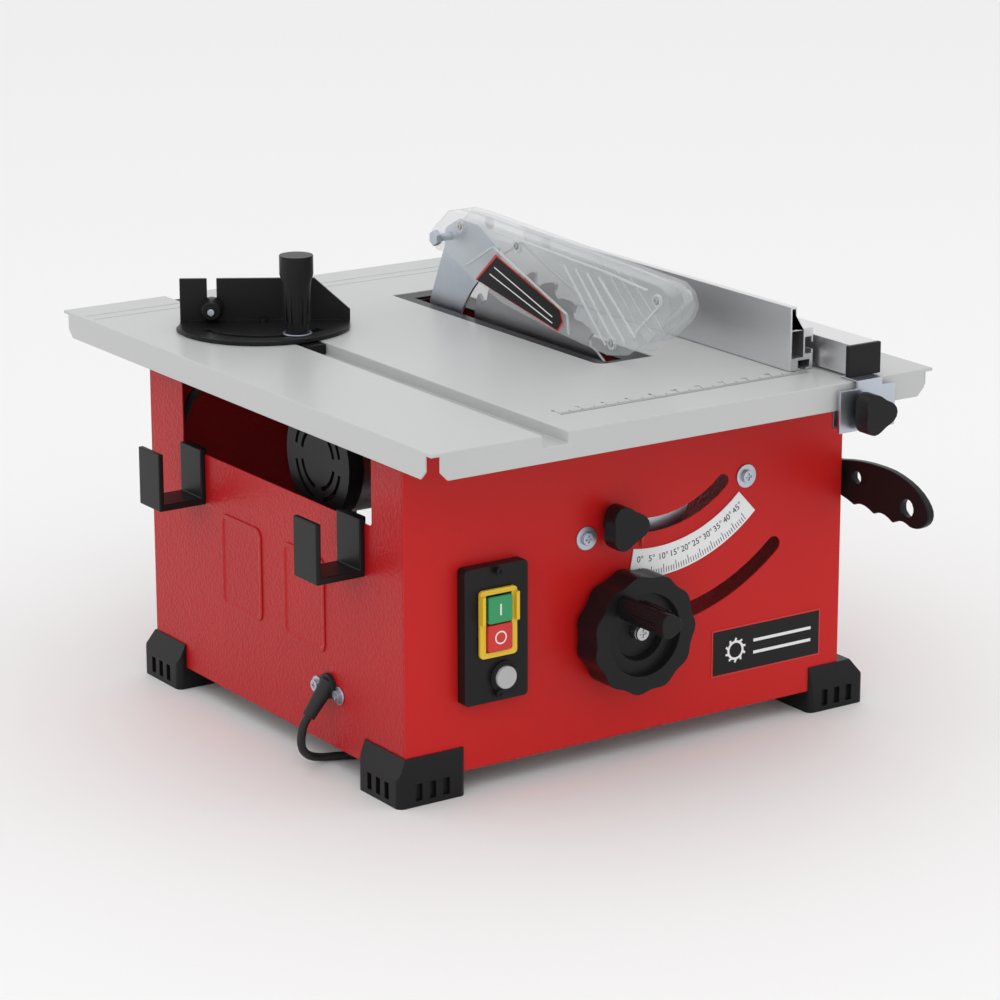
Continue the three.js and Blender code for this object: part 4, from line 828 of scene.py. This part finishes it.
place = middle("miter_handle")
handleFoot = Vector((place.x, place.y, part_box("miter_handle")[0].z))
flutes("miter_handle_flutes", handleFoot, "z", 9.6, (8, 36), 12, "gauge_lock")
place = middle("crank_handle")
crankFront = Vector((place.x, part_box("crank_handle")[0].y, place.z))
flutes("crank_flutes", crankFront, "-y", 8.8, (-38, -9), 12, "crank")
place = middle("handwheel")
hubSeat = Vector((place.x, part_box("wheel_shaft")[0].y + 0.0002, place.z))  # just off the shaft's end
hub = panScrew(hubSeat, "-y", 5.2, 2.4)
finish(joined("wheel_hub_screw", [hub]), "wheel", look["bare_steel"])

# Mitre gauge: bright washers and bolt end
gaugeBright = {"washer": 10.6, "thick": 1.1, "bolt": (-150.2, 132.3, 13), "boltRadius": 2.6,
               "boltLength": 2.4, "turn": -32.4}


def gaugeDetails(s):
    washerMiddle = handleFoot + Vector((0, 0, s["thick"] / 2000))
    washer = disc(washerMiddle, "z", s["washer"], s["thick"], 36)
    softEdges(washer, 0.3, 2)
    finish(joined("miter_handle_washer", [washer]), "gauge_lock", look["zinc_steel"])
    end = disc(Vector((0, 0, 0)), "y", s["boltRadius"], s["boltLength"], 20)
    softEdges(end, 0.5, 2)
    end.rotation_euler = (0, 0, math.radians(s["turn"]))
    end.location = spot(*s["bolt"])
    finish(joined("miter_bolt_end", [end]), "gauge_head", look["zinc_steel"])


gaugeDetails(gaugeBright)

# Pressed lines in the table, collar of the reset cap
bendLines = {"y": (211, 224), "wide": 0.9, "proud": 0.3, "runs": ((-205, -124), (-100, 138), (166, 205))}
lines = []
for y in bendLines["y"]:
    for start, end in bendLines["runs"]:
        a = spot(start, y - bendLines["wide"] / 2, -0.2)
        b = spot(end, y + bendLines["wide"] / 2, bendLines["proud"])
        lines.append(softEdges(brick((a.x, b.x), (a.y, b.y), (a.z, b.z)), 0.28, 3))
finish(joined("table_bend_lines", lines), "frame", look["table_paint"])

resetCollar = {"room": 0.0007, "thick": 0.0011}
low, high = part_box("reset_button")
place = middle("reset_button")
collarRadius = (high.x - low.x) / 2 + resetCollar["room"]
collarRing = hoop((place.x, switchFace, place.z), collarRadius, resetCollar["thick"], 40, 10)
collar = joined("reset_collar", [collarRing])
choose(collar)
bpy.ops.object.shade_smooth_by_angle(angle=math.radians(40))
finish(collar, "frame", look["black_plastic"])

# Fence cap
capShape = {"lip": 0.0004, "out": 0.0026, "over": 0.0012, "tubeTall": 0.0216}
low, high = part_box("fence_tube")
lip = capShape["lip"]
fenceCap = brick((low.x - lip, high.x + lip), (low.y - capShape["out"], low.y + capShape["over"]),
                 (high.z - capShape["tubeTall"] - lip, high.z + lip))
softEdges(fenceCap, 0.9, 3)
finish(fenceCap, "fence", look["black_plastic"])
fenceCap.name = "fence_end_cap"
print("saw details done")

# Floor, light
studio = {"floor": 12, "world": 0.97, "lights": (
    ("key", (-1.6, -2.2, 2.6), 1.8, 14), ("fill", (2.4, -1.2, 1.8), 1.6, 4), ("top", (0, 0.4, 3.0), 2.4, 3),
    ("leftStrip", (-2.8, 0.6, 1.1), 1.2, 5))}


def makeStudio(s):
    nothingSelected()
    bpy.ops.mesh.primitive_plane_add(size=s["floor"], location=(0, 0, 0))
    floor = bpy.context.active_object
    floor.name = "studio_floor"
    r = Recipe("paleFloor")
    r.give("Base Color", (0.86, 0.86, 0.86, 1))
    r.give("Roughness", 0.7)
    floor.data.materials.append(r.material)
    world = bpy.data.worlds.new("studioWorld")
    bpy.context.scene.world = world
    world.use_nodes = True
    sky = world.node_tree.nodes["Background"]
    sky.inputs["Color"].default_value = (1, 1, 1, 1)
    sky.inputs["Strength"].default_value = s["world"]
    for name, place, size, power in s["lights"]:
        data = bpy.data.lights.new(name, "AREA")
        data.size = size
        data.energy = power
        light = bpy.data.objects.new(name, data)
        bpy.context.scene.collection.objects.link(light)
        light.location = place
        light.rotation_euler = (Vector((0, 0, 0.15)) - Vector(place)).to_track_quat("-Z", "Y").to_euler()
    bpy.context.scene.view_settings.view_transform = "Standard"


makeStudio(studio)
nothingSelected()
print("scene made")
